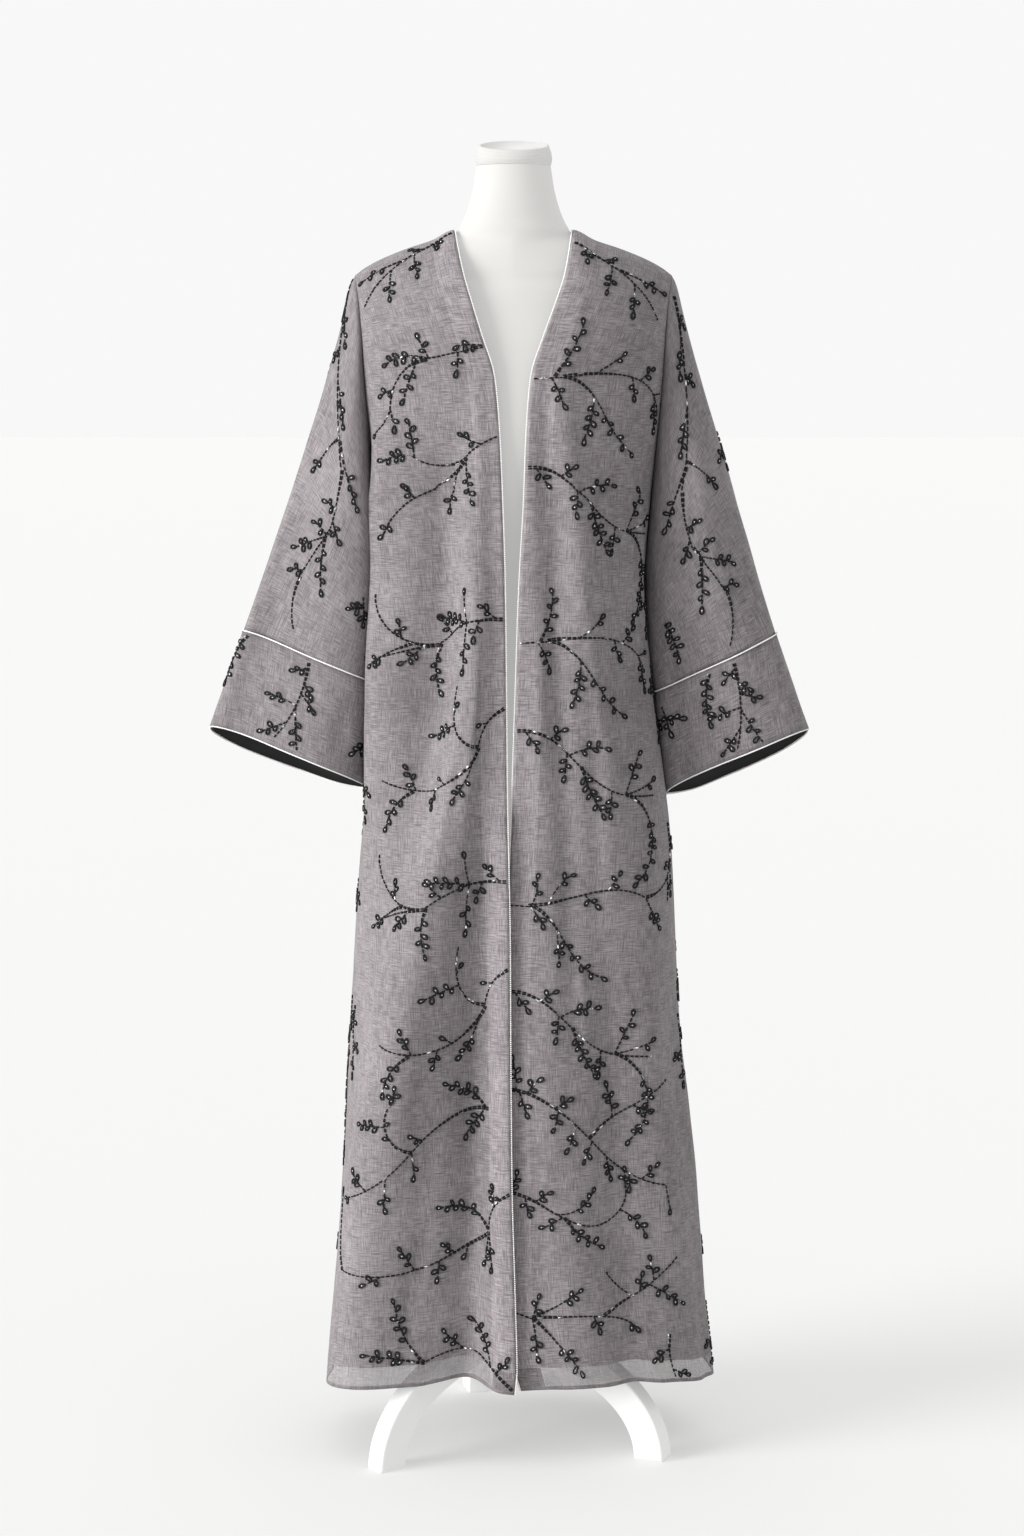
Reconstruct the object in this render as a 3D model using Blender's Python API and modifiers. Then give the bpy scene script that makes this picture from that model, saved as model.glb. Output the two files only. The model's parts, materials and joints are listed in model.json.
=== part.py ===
"""Open-front abaya on a limbless dress form with a tripod stand.

Metres, +Z up, +X to the viewer's right, the front faces -Y. The origin is on the floor under the
middle of the whole piece. "right" and "left" are the wearer's, so the right side is at -X.
Every cloth piece is a thin wall between an outer surface, worked out from the tables below, and the
same surface moved inwards.
"""

import math
from collections import namedtuple

import bmesh
import bpy
import numpy as np

# Driving dimensions
SEAM_GAP = 0.0003  # between two pieces that are sewn together
CLOTH = 0.0016  # outer cloth, with its seam allowances
LINING = 0.0010  # lining and facing
LAYER_GAP = 0.0007  # air between the outer cloth and the layer behind it
PIPING_R = 0.0009
FACING_W = 0.030
LINING_LIFT = 0.027  # the lining's hem ends this far above the cloth's hem
HEM = 0.088
UNDERARM = 1.150
CHEST = 1.290  # above this height the cloth rolls over the shoulder
SHOULDER_Y = -0.016  # where the shoulder ridge stands, front to back
SECTION_POWER = 2.4  # 2 would make the body's level sections ellipses
NECK_X = 0.070  # half the neck's width at the shoulder seam
NECK_BACK = 0.078  # how far the back neck lies behind the shoulder ridge
NECK_POWER = 2.6  # squareness of the back neck's curve

RIGHT, LEFT = -1, 1
FRONT, BACK = -1, 1

# Outline of one side: half width at the side seam or armhole, and how far the front edge is from the
# middle, both outwards, at each height.
Station = namedtuple("Station", "height side edge")
STATIONS = {
    RIGHT: [
        Station(0.088, 0.2200, -0.0010),
        Station(0.115, 0.2185, -0.0030),
        Station(0.200, 0.2115, -0.0010),
        Station(0.350, 0.2035, 0.0030),
        Station(0.540, 0.1955, 0.0045),
        Station(0.640, 0.1900, 0.0050),
        Station(0.724, 0.1840, 0.0065),
        Station(0.800, 0.1755, 0.0080),
        Station(0.920, 0.1630, 0.0090),
        Station(1.050, 0.1540, 0.0105),
        Station(1.150, 0.1630, 0.0135),
        Station(1.220, 0.1690, 0.0165),
        Station(1.290, 0.1750, 0.0225),
        Station(1.339, 0.1780, 0.0375),
        Station(1.376, 0.1815, 0.0490),
        Station(1.410, 0.1860, 0.0590),
        Station(1.462, 0.1860, 0.0700),
    ],
    LEFT: [
        Station(0.088, 0.2410, 0.0090),
        Station(0.115, 0.2375, 0.0020),
        Station(0.200, 0.2265, -0.0070),
        Station(0.350, 0.2150, -0.0100),
        Station(0.540, 0.1990, -0.0110),
        Station(0.640, 0.1945, -0.0085),
        Station(0.724, 0.1900, -0.0040),
        Station(0.800, 0.1820, -0.0010),
        Station(0.920, 0.1670, 0.0030),
        Station(1.050, 0.1560, 0.0075),
        Station(1.150, 0.1630, 0.0130),
        Station(1.220, 0.1690, 0.0155),
        Station(1.290, 0.1750, 0.0210),
        Station(1.339, 0.1780, 0.0365),
        Station(1.376, 0.1815, 0.0500),
        Station(1.410, 0.1860, 0.0610),
        Station(1.462, 0.1860, 0.0700),
    ],
}

# Depth of the cloth in front of and behind the shoulder ridge, on the middle line.
Depth = namedtuple("Depth", "height front back")
DEPTHS = [
    Depth(0.088, 0.140, 0.172),
    Depth(0.350, 0.130, 0.153),
    Depth(0.600, 0.122, 0.136),
    Depth(0.800, 0.119, 0.124),
    Depth(1.000, 0.119, 0.113),
    Depth(1.150, 0.122, 0.114),
    Depth(1.250, 0.124, 0.117),
    Depth(1.290, 0.122, 0.116),
]

# The armhole lies this far inside the widest line of the body's section, so that it sinks into a valley.
Inset = namedtuple("Inset", "height depth")
ARMHOLE_INSET = [
    Inset(1.150, 0.0),
    Inset(1.200, 0.0022),
    Inset(1.250, 0.0060),
    Inset(1.290, 0.0078),
    Inset(1.410, 0.0110),
]

# Height of the shoulder ridge, by distance from the middle.
Ridge = namedtuple("Ridge", "out height")
RIDGE = [
    Ridge(0.000, 1.4620),
    Ridge(0.070, 1.4620),
    Ridge(0.096, 1.4500),
    Ridge(0.126, 1.4400),
    Ridge(0.160, 1.4260),
    Ridge(0.176, 1.4170),
    Ridge(0.186, 1.4095),
]

# Large folds of the skirt. Places run round each side: 0 at the front edge, 1 at the side seam,
# 2 at the centre back. rise is outwards at the hem, negative for a trough; start is where it begins.
Fold = namedtuple("Fold", "top_place hem_place spread rise start full")
FOLDS = {
    RIGHT: [
        Fold(0.24, 0.60, 0.19, 0.0190, 1.20, 0.35),
        Fold(0.07, 0.215, 0.110, -0.0350, 1.02, 0.26),
        Fold(0.74, 0.90, 0.10, 0.0050, 1.10, 0.70),
        Fold(0.50, 0.33, 0.10, -0.0040, 1.18, 0.80),
        Fold(1.22, 1.20, 0.10, 0.0120, 0.98, 0.30),
        Fold(1.42, 1.44, 0.10, -0.0130, 1.10, 0.35),
        Fold(1.62, 1.66, 0.11, 0.0130, 1.15, 0.35),
        Fold(1.84, 1.86, 0.09, -0.0090, 1.15, 0.40),
    ],
    LEFT: [
        Fold(0.10, 0.14, 0.09, 0.0060, 1.18, 0.50),
        Fold(0.30, 0.32, 0.08, -0.0080, 1.20, 0.70),
        Fold(0.48, 0.52, 0.10, 0.0080, 1.15, 0.60),
        Fold(0.68, 0.74, 0.09, -0.0060, 0.90, 0.30),
        Fold(0.86, 0.92, 0.08, 0.0050, 0.80, 0.25),
        Fold(1.26, 1.24, 0.10, -0.0110, 0.98, 0.30),
        Fold(1.46, 1.46, 0.10, 0.0140, 1.12, 0.30),
        Fold(1.68, 1.66, 0.10, -0.0110, 1.15, 0.35),
        Fold(1.88, 1.88, 0.08, 0.0090, 1.15, 0.40),
    ],
}
EDGE_HOLD = 0.09  # the folds die out this near to the front edge

# Height of the hem round each side, by the same places.
HemLine = namedtuple("HemLine", "place height")
HEM_LINE = [
    HemLine(0.00, 0.092),
    HemLine(0.30, 0.098),
    HemLine(0.60, 0.095),
    HemLine(0.85, 0.084),
    HemLine(1.00, 0.080),
    HemLine(1.30, 0.082),
    HemLine(2.00, 0.086),
]
HEM_BLEND = 0.40  # rows above this height are level
HEM_RISE = 0.50  # the hem also lifts by this share of a trough's depth

# Where the right front laps over the left one, each edge moves off the shared line by this much.
LAP = {RIGHT: 0.0045, LEFT: -0.0055}
LAP_TOP, LAP_FULL, LAP_SPREAD = 0.86, 0.72, 0.16

# Sleeves: the outer and inner ends of the cuff's seam and hem, outwards and up, half their depth, and
# how far the middle of the front stands above the line of the ends and the back hangs below it.
Ring = namedtuple("Ring", "outer_x outer_z inner_x inner_z half_depth front_rise back_drop")
CUFF_RINGS = {
    RIGHT: [
        Ring(0.3235, 0.9880, 0.1690, 0.9250, 0.034, 0.006, 0.006),
        Ring(0.3640, 0.8730, 0.1810, 0.8030, 0.036, 0.011, 0.015),
    ],
    LEFT: [
        Ring(0.3135, 0.9860, 0.1720, 0.9160, 0.034, 0.001, 0.006),
        Ring(0.3530, 0.8710, 0.1870, 0.7970, 0.036, 0.009, 0.018),
    ],
}
SLEEVE_Y = -0.004  # middle of the sleeve, front to back, from the shoulder ridge
SLEEVE_BULGE = 0.013
SLEEVE_BULGE_SHAPE = 0.8  # under 1 fills the bulge out towards the armhole and the cuff
SLEEVE_SAG = {RIGHT: 0.006, LEFT: 0.001}
SLEEVE_FOLDS_FULL = 0.6  # share of the way from the armhole to the cuff's seam
RING_POWER = 2.5

# Soft folds down the sleeve. Places run round it: 0 at the underarm, 0.25 front, 0.5 outer edge.
SleeveFold = namedtuple("SleeveFold", "top_place hem_place spread rise")
SLEEVE_FOLDS = [
    SleeveFold(0.20, 0.12, 0.045, -0.0050),
    SleeveFold(0.30, 0.29, 0.050, 0.0030),
    SleeveFold(0.40, 0.40, 0.040, -0.0030),
    SleeveFold(0.66, 0.62, 0.045, -0.0040),
    SleeveFold(0.76, 0.80, 0.050, 0.0040),
    SleeveFold(0.86, 0.90, 0.040, -0.0040),
]

# Rows and columns of the cloth pieces
ROW_HEIGHTS = [HEM, HEM + LINING_LIFT, 0.17, 0.25, 0.34, 0.44, 0.54, 0.63, 0.72, 0.81, 0.90, 0.99]
ROW_HEIGHTS += [1.07, UNDERARM, 1.20, 1.25, CHEST]
ROLL_ROWS = 6
FRONT_COLUMNS = 11
BACK_NECK_COLUMNS, BACK_SIDE_COLUMNS = 4, 6
SLEEVE_ROWS, CUFF_ROWS = 9, 3
DENSE = 240  # points of a section before its columns are picked
SHARP = 40  # degrees between two faces that makes their edge sharp
MITRE_LEAST = 0.75  # how far a shared direction may lean before its wall is let grow thinner

# Dress form, as level rings: half width, depth in front and behind, and the section's power.
FormRing = namedtuple("FormRing", "height half_width front back power")
FORM_RINGS = [
    FormRing(0.740, 0.1450, 0.088, 0.090, 2.2),
    FormRing(0.748, 0.1520, 0.094, 0.096, 2.2),
    FormRing(0.800, 0.1560, 0.097, 0.100, 2.2),
    FormRing(0.880, 0.1530, 0.098, 0.101, 2.2),
    FormRing(0.960, 0.1400, 0.092, 0.090, 2.2),
    FormRing(1.040, 0.1260, 0.085, 0.080, 2.2),
    FormRing(1.110, 0.1310, 0.094, 0.084, 2.2),
    FormRing(1.180, 0.1440, 0.108, 0.094, 2.2),
    FormRing(1.240, 0.1530, 0.113, 0.100, 2.2),
    FormRing(1.290, 0.1610, 0.110, 0.102, 2.2),
    FormRing(1.330, 0.1690, 0.102, 0.099, 2.1),
    FormRing(1.365, 0.1745, 0.090, 0.088, 1.85),
    FormRing(1.390, 0.1770, 0.080, 0.078, 1.65),
    FormRing(1.404, 0.1755, 0.073, 0.072, 1.58),
]
FORM_RIDGE_HEIGHTS = (1.412, 1.420, 1.428, 1.436, 1.444)
FORM_UNDER_RIDGE = 0.0047  # the form's shoulder lies this far under the cloth's outer ridge
NECK_RINGS = [
    FormRing(1.4515, 0.0750, 0.060, 0.057, 1.75),
    FormRing(1.4560, 0.0685, 0.059, 0.056, 1.9),
    FormRing(1.4620, 0.0655, 0.058, 0.055, 2.0),
    FormRing(1.4740, 0.0590, 0.055, 0.053, 2.0),
    FormRing(1.4900, 0.0530, 0.052, 0.050, 2.0),
    FormRing(1.5100, 0.0478, 0.048, 0.046, 2.0),
    FormRing(1.5280, 0.0450, 0.045, 0.044, 2.0),
    FormRing(1.5360, 0.0437, 0.0437, 0.0437, 2.0),
]
FORM_SIDES = 28
RIDGE_SAMPLES = 60  # points read along the cloth's ridge for the form's shoulders
CAP_RADIUS, CAP_HEIGHT, CAP_BULGE, CAP_TILT = 0.0437, 0.0238, 0.0016, math.radians(11)
Band = namedtuple("Band", "height_share bulge_share")
CAP_BANDS = [Band(0.0, 0.0), Band(0.10, 0.7), Band(0.32, 1.0), Band(0.65, 0.3), Band(1.0, -1.6)]

# Stand
POLE_X, POLE_Y, POLE_R = -0.005, -0.024, 0.0150
LEG_REACH, LEG_RISE, LEG_DEPTH, LEG_WIDTH = 0.212, 0.145, 0.038, 0.027
LEG_TURNS = (221, 333, 103)  # degrees round the pole from +X
LEG_STEPS = 11  # points on each of a leg's two curves
HUB_BOTTOM, HUB_TOP, HUB_R = 0.098, 0.160, 0.029
ROUND_SIDES = 20

COLLECTION = "open_front_abaya"


def through(rows, field, at):
    """A smooth curve through one column of a table, with no overshoot between rows."""
    xs = np.array([row[0] for row in rows])
    ys = np.array([getattr(row, field) for row in rows])
    steps = np.diff(xs)
    slopes = np.diff(ys) / steps
    bends = np.zeros(len(xs))
    bends[0], bends[-1] = slopes[0], slopes[-1]
    same = slopes[:-1] * slopes[1:] > 0
    product = np.where(same, slopes[:-1] * slopes[1:], 0.0)
    bends[1:-1] = 2 * product / np.where(same, slopes[:-1] + slopes[1:], 1.0)
    at = np.clip(np.asarray(at, float), xs[0], xs[-1])
    i = np.clip(np.searchsorted(xs, at) - 1, 0, len(xs) - 2)
    t = (at - xs[i]) / steps[i]
    start = (1 + 2 * t) * (1 - t) ** 2 * ys[i] + t * (1 - t) ** 2 * steps[i] * bends[i]
    end = t * t * (3 - 2 * t) * ys[i + 1] + t * t * (t - 1) * steps[i] * bends[i + 1]
    return start + end


def ease(t):
    t = np.clip(t, 0.0, 1.0)
    return t * t * (3 - 2 * t)


def lengths_along(points):
    steps = np.linalg.norm(np.diff(points, axis=0), axis=1)
    return np.concatenate([[0.0], np.cumsum(steps)])


def pick(points, places):
    """The points at these distances along a dense line."""
    along = lengths_along(points)
    return np.stack([np.interp(places, along, points[:, k]) for k in range(3)], axis=1)


def fold_offset(side, places, height):
    """How far the large folds move the cloth outwards."""
    moved = np.zeros_like(places)
    for fold in FOLDS[side]:
        grown = ease((fold.start - height) / (fold.start - fold.full))
        down = ease((fold.start - height) / (fold.start - HEM))
        middle = fold.top_place + (fold.hem_place - fold.top_place) * down
        moved += fold.rise * grown * np.exp(-(((places - middle) / fold.spread) ** 2))
    moved *= 1 - np.exp(-((places / EDGE_HOLD) ** 2))
    lapped = LAP[side] * ease((LAP_TOP - height) / (LAP_TOP - LAP_FULL))
    return moved + lapped * np.exp(-((places / LAP_SPREAD) ** 2))


def body_line(side, face, level, roll):
    """A dense line across one side of the front or back, with its places round the body.

    It runs from the front edge or the centre back to the side seam or armhole. level is its height up
    to the chest, and roll its angle over the shoulder above that.
    """
    up = math.sin(roll)
    stations = STATIONS[side]
    arm_height = level + (RIDGE[-1].height - level) * up
    arm = float(through(stations, "side", arm_height))
    reach = arm + float(through(ARMHOLE_INSET, "depth", arm_height)) * (level > UNDERARM)
    edge = 0.0
    if face == FRONT:
        edge = float(through(stations, "edge", level + (RIDGE[0].height - level) * up))
    start, end = [
        math.copysign(math.asin(min(abs(x) / reach, 1.0) ** (SECTION_POWER / 2)), x) for x in (edge, arm)
    ]
    angles = np.linspace(start, end, DENSE)
    out = reach * np.sign(angles) * np.abs(np.sin(angles)) ** (2 / SECTION_POWER)
    depth = float(through(DEPTHS, "front" if face == FRONT else "back", level))
    deep = depth * np.abs(np.cos(angles)) ** (2 / SECTION_POWER)
    rolls = np.full(DENSE, roll)
    if face == BACK:
        neck = NECK_BACK * np.clip(1 - (out / NECK_X) ** NECK_POWER, 0, 1) ** (1 / NECK_POWER)
        rolls = roll * np.arccos(np.clip(neck / np.maximum(deep, 1e-6), 0, 1)) / (math.pi / 2)
    points = np.stack(
        [
            out,
            face * deep * np.cos(rolls),
            level + (through(RIDGE, "height", np.abs(out)) - level) * np.sin(rolls),
        ],
        axis=1,
    )
    along = lengths_along(points)
    places = along / along[-1]
    places = places if face == FRONT else 2 - places
    if roll == 0:
        points = folded(side, face, points, places, level)
    return points


def folded(side, face, points, places, height):
    """The line with the large folds in it, and the hem lifted where the cloth falls back."""
    heading = np.gradient(points[:, :2], axis=0)
    heading /= np.linalg.norm(heading, axis=1)[:, None]
    outwards = np.stack([-heading[:, 1] * face, heading[:, 0] * face], axis=1)
    moved = fold_offset(side, places, height)
    points = points.copy()
    points[:, :2] += outwards * moved[:, None]
    lifted = HEM_RISE * np.maximum(-moved, 0) + through(HEM_LINE, "height", places) - HEM
    points[:, 2] += lifted * ease((HEM_BLEND - height) / (HEM_BLEND - HEM))
    return points


def column_places(side, face, line):
    """Distances along a line at which the piece's columns stand."""
    total = lengths_along(line)[-1]
    if face == FRONT:
        rest = np.linspace(FACING_W, total - SEAM_GAP / 2, FRONT_COLUMNS + 1)
        return np.concatenate([[0.0], rest])
    neck_out = NECK_X * line[-1, 0] / RIDGE[-1].out
    neck = float(np.interp(neck_out, line[:, 0], lengths_along(line)))
    inner = np.linspace(0, neck, BACK_NECK_COLUMNS + 1)
    outer = np.linspace(neck, total - SEAM_GAP / 2, BACK_SIDE_COLUMNS + 1)
    return np.concatenate([inner, outer[1:]])


def all_rows():
    rolls = np.linspace(0, math.pi / 2, ROLL_ROWS + 1)[1:]
    return [(height, 0.0) for height in ROW_HEIGHTS] + [(CHEST, roll) for roll in rolls]


def body_grid(side, face):
    """Outer points of one side of the front or back, row by row from the hem to the shoulder."""
    rows = []
    for level, roll in all_rows():
        line = body_line(side, face, level, roll)
        rows.append(pick(line, column_places(side, face, line)))
    grid = np.array(rows)
    seam = np.abs(grid[-1, :, 1]) < SEAM_GAP
    grid[-1, seam, 1] = face * SEAM_GAP / 2
    return grid


def normals_of(grid, closed=False):
    """Unit normals of a grid of points, from the points on both sides of each."""
    if closed:
        wide = np.concatenate([grid[:, -1:], grid, grid[:, :1]], axis=1)
        across = (wide[:, 2:] - wide[:, :-2]) / 2
    else:
        across = np.gradient(grid, axis=1)
    up = np.gradient(grid, axis=0)
    normal = np.cross(across, up)
    return normal / np.linalg.norm(normal, axis=2)[:, :, None]


def mitre(first, second):
    """The shared direction for the edges of two walls that meet, long enough to keep both thick."""
    shared = first + second
    shared /= np.linalg.norm(shared, axis=-1, keepdims=True)
    lean = np.sum(shared * first, axis=-1, keepdims=True)
    return shared / np.maximum(lean, MITRE_LEAST)


def place(side, points):
    """From a side's own coordinates to the whole piece's."""
    return np.stack([side * points[..., 0], points[..., 1] + SHOULDER_Y, points[..., 2]], axis=-1)


def link(obj, material):
    obj.data.materials.append(material)
    bpy.data.collections[COLLECTION].objects.link(obj)
    return obj


def principled(name, colour, roughness, metallic=0.0):
    material = bpy.data.materials.new(name)
    material.use_nodes = True
    shader = material.node_tree.nodes["Principled BSDF"]
    shader.inputs["Base Color"].default_value = (*colour, 1.0)
    shader.inputs["Roughness"].default_value = roughness
    shader.inputs["Metallic"].default_value = metallic
    return material


def solid_between(name, outer, inner, material, closed=False):
    """A wall between two grids of points; closed joins the last column to the first."""
    rows, columns = outer.shape[:2]
    mesh = bmesh.new()
    sheets = [[[mesh.verts.new(p) for p in row] for row in grid] for grid in (outer, inner)]
    spans = range(columns if closed else columns - 1)
    for sheet in sheets:
        for r in range(rows - 1):
            for c in spans:
                d = (c + 1) % columns
                mesh.faces.new((sheet[r][c], sheet[r][d], sheet[r + 1][d], sheet[r + 1][c]))
    for r in (0, rows - 1):
        for c in spans:
            d = (c + 1) % columns
            mesh.faces.new((sheets[0][r][c], sheets[0][r][d], sheets[1][r][d], sheets[1][r][c]))
    if not closed:
        for c in (0, columns - 1):
            for r in range(rows - 1):
                mesh.faces.new((sheets[0][r][c], sheets[0][r + 1][c], sheets[1][r + 1][c], sheets[1][r][c]))
    bmesh.ops.recalc_face_normals(mesh, faces=mesh.faces)
    return mesh_object(name, mesh, material)


def mesh_object(name, mesh, material):
    data = bpy.data.meshes.new(name)
    mesh.to_mesh(data)
    mesh.free()
    data.shade_smooth()
    data.set_sharp_from_angle(angle=math.radians(SHARP))
    return link(bpy.data.objects.new(name, data), material)


def tube(name, points, radius, material, closed=False):
    curve = bpy.data.curves.new(name, "CURVE")
    curve.dimensions = "3D"
    curve.bevel_depth = radius
    curve.bevel_resolution = 0
    curve.use_fill_caps = True
    spline = curve.splines.new("POLY")
    spline.points.add(len(points) - 1)
    for knot, point in zip(spline.points, points):
        knot.co = (*point, 1.0)
    spline.use_cyclic_u = closed
    return link(bpy.data.objects.new(name, curve), material)


def body_directions(side, front, back):
    """Outward directions at the points of both faces of one side, shared where they meet."""
    front_out, back_out = side * normals_of(place(side, front)), -side * normals_of(place(side, back))
    below = ROW_HEIGHTS.index(UNDERARM) + 1
    seam = mitre(front_out[:below, -1], back_out[:below, -1])
    front_out[:below, -1] = back_out[:below, -1] = seam
    for out, grid in ((front_out, front), (back_out, back)):
        ridge = np.abs(grid[-1, :, 1]) < SEAM_GAP
        out[-1, ridge, 1] = 0
        out[-1, ridge] /= np.linalg.norm(out[-1, ridge], axis=1)[:, None]
    return front_out, back_out


def armhole_loop(front, back):
    """Round an armhole from the underarm, up the front and down the back, with no point twice."""
    start = ROW_HEIGHTS.index(UNDERARM)
    return np.concatenate([front[start:, -1], back[-2:start:-1, -1]])


def cuff_ring(side, ring, count):
    """Points round a cuff's seam or hem, from the inner edge round the front."""
    turn = np.linspace(0, 2 * math.pi, 8 * DENSE)
    across = -np.sign(np.cos(turn)) * np.abs(np.cos(turn)) ** (2 / RING_POWER)
    deep = -np.sign(np.sin(turn)) * np.abs(np.sin(turn)) ** (2 / RING_POWER)
    middle = np.array([(ring.outer_x + ring.inner_x) / 2, SLEEVE_Y, (ring.outer_z + ring.inner_z) / 2])
    half = np.array([(ring.outer_x - ring.inner_x) / 2, 0, (ring.outer_z - ring.inner_z) / 2])
    line = middle + across[:, None] * half
    line[:, 1] += deep * ring.half_depth
    line[:, 2] -= np.where(deep < 0, deep * ring.front_rise, deep * ring.back_drop)
    total = lengths_along(line)[-1]
    return pick(line, np.linspace(0, total, count + 1)[:-1])


def sleeve_grid(side, armhole, rows):
    """Outer points of a sleeve and its cuff. Rows are 0 at the armhole, 1 at the cuff's seam, 2 at its hem."""
    count = len(armhole)
    seam, hem = [cuff_ring(side, ring, count) for ring in CUFF_RINGS[side]]
    places = np.arange(count) / count
    facing = -np.sin(2 * math.pi * places)
    outer = np.clip(-np.cos(2 * math.pi * places), 0, 1)
    grid = []
    for row in rows:
        if row <= 1:
            line = armhole + (seam - armhole) * row
            line[:, 1] += facing * SLEEVE_BULGE * math.sin(math.pi * row) ** SLEEVE_BULGE_SHAPE
            line[:, 0] -= outer * SLEEVE_SAG[side] * math.sin(math.pi * row)
        else:
            line = seam + (hem - seam) * (row - 1)
        grown = float(ease(row / SLEEVE_FOLDS_FULL))
        for fold in SLEEVE_FOLDS:
            middle = fold.top_place + (fold.hem_place - fold.top_place) * row / 2
            line[:, 1] += facing * fold.rise * grown * np.exp(-(((places - middle) / fold.spread) ** 2))
        grid.append(line)
    return np.array(grid)


def make_body(cloth, lining, piping):
    """Both fronts with their facings, linings and piping, and the back with its lining."""
    backs, back_outs, armholes = {}, {}, {}
    for side, name in ((RIGHT, "right"), (LEFT, "left")):
        front, back = body_grid(side, FRONT), body_grid(side, BACK)
        front_out, back_out = body_directions(side, front, back)
        start = ROW_HEIGHTS.index(UNDERARM)
        loop = armhole_loop(front, back)
        sleeve_rows = np.linspace(0, 1, SLEEVE_ROWS + 1)
        cuff_rows = np.linspace(1, 2, CUFF_ROWS + 1)
        shifted = loop + np.array([SEAM_GAP, 0, 0])
        grid = place(side, sleeve_grid(side, shifted, np.concatenate([sleeve_rows, cuff_rows[1:]])))
        outs = -side * normals_of(grid, closed=True)
        body_loop = armhole_loop(front_out, back_out)
        shared = mitre(body_loop, outs[0])
        tip = len(front_out) - 1 - start
        front_out[start:, -1] = shared[: tip + 1]
        back_out[start, -1] = shared[0]
        back_out[start:, -1] = np.concatenate([shared[:1], shared[:tip - 1:-1]])
        outs[0] = shared
        make_sleeve(name, grid, outs, cloth, lining, piping)
        front, back = place(side, front), place(side, back)
        make_front(name, side, front, front_out, cloth, lining, piping)
        backs[side], back_outs[side] = back, back_out
    back, outs = [
        np.concatenate([halves[RIGHT][:, ::-1], halves[LEFT][:, 1:]], axis=1) for halves in (backs, back_outs)
    ]
    middle = backs[LEFT].shape[1] - 1
    outs[:, middle, 0] = 0
    outs[:, middle] /= np.linalg.norm(outs[:, middle], axis=1)[:, None]
    solid_between("back", back, back - outs * CLOTH, cloth)
    skin = back - outs * (CLOTH + LAYER_GAP)
    solid_between("lining_back", skin[1:], (skin - outs * LINING)[1:], lining)
    neck = slice(middle - BACK_NECK_COLUMNS, middle + BACK_NECK_COLUMNS + 1)
    rim = back[-1, neck] - outs[-1, neck] * CLOTH / 2
    open_side = np.cross(np.gradient(rim, axis=0), outs[-1, neck])
    open_side /= np.linalg.norm(open_side, axis=1)[:, None]
    tube("piping_neck", rim + open_side * (PIPING_R + SEAM_GAP), PIPING_R, piping)


def make_front(name, side, front, outs, cloth, lining, piping):
    solid_between(f"front_{name}", front, front - outs * CLOTH, cloth)
    skin = front - outs * (CLOTH + LAYER_GAP)
    along = front[:, 1] - front[:, 0]
    along /= np.linalg.norm(along, axis=1)[:, None]
    facing = skin[:, :2].copy()
    facing[:, 0] += along * SEAM_GAP
    facing[:, 1] -= along * SEAM_GAP / 2
    solid_between(f"facing_{name}", facing, facing - outs[:, :2] * LINING, cloth)
    body = skin[1:, 1:].copy()
    body[:, 0] += along[1:] * SEAM_GAP / 2
    solid_between(f"lining_front_{name}", body, body - outs[1:, 1:] * LINING, lining)
    rim = front[:, 0] - outs[:, 0] * CLOTH / 2
    rim = rim - along * (PIPING_R + SEAM_GAP)
    tube(f"piping_front_{name}", rim, PIPING_R, piping)


def make_sleeve(name, grid, outs, cloth, lining, piping):
    """Sleeve, cuff, their lining and the piping on the cuff's seam and hem."""
    seam = SLEEVE_ROWS
    top, low = grid[: seam + 1].copy(), grid[seam:].copy()
    down = grid[seam + 1] - grid[seam]
    down /= np.linalg.norm(down, axis=1)[:, None]
    top[-1] -= down * SEAM_GAP / 2
    low[0] += down * SEAM_GAP / 2
    solid_between(f"sleeve_{name}", top, top - outs[: seam + 1] * CLOTH, cloth, closed=True)
    solid_between(f"cuff_{name}", low, low - outs[seam:] * CLOTH, cloth, closed=True)
    skin = grid - outs * (CLOTH + LAYER_GAP)
    solid_between(f"lining_sleeve_{name}", skin, skin - outs * LINING, lining, closed=True)
    ring = grid[seam] + outs[seam] * (PIPING_R + SEAM_GAP)
    tube(f"piping_cuff_seam_{name}", ring, PIPING_R, piping, closed=True)
    hem = grid[-1] - outs[-1] * CLOTH / 2 + down * (PIPING_R + SEAM_GAP)
    tube(f"piping_cuff_hem_{name}", hem, PIPING_R, piping, closed=True)


def ring_points(ring, count):
    turn = np.arange(count) / count * 2 * math.pi
    x = np.sign(np.cos(turn)) * np.abs(np.cos(turn)) ** (2 / ring.power) * ring.half_width
    y = np.sign(np.sin(turn)) * np.abs(np.sin(turn)) ** (2 / ring.power)
    y = np.where(y < 0, y * ring.front, y * ring.back)
    return np.stack([x, y + SHOULDER_Y, np.full(count, ring.height)], axis=1)


def loft(name, rings, material):
    """A closed solid through rings of equal counts, with flat ends."""
    mesh = bmesh.new()
    loops = [[mesh.verts.new(p) for p in ring] for ring in rings]
    count = len(loops[0])
    for lower, upper in zip(loops, loops[1:]):
        for c in range(count):
            d = (c + 1) % count
            mesh.faces.new((lower[c], lower[d], upper[d], upper[c]))
    mesh.faces.new(loops[0][::-1])
    mesh.faces.new(loops[-1])
    bmesh.ops.recalc_face_normals(mesh, faces=mesh.faces)
    return mesh_object(name, mesh, material)


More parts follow.
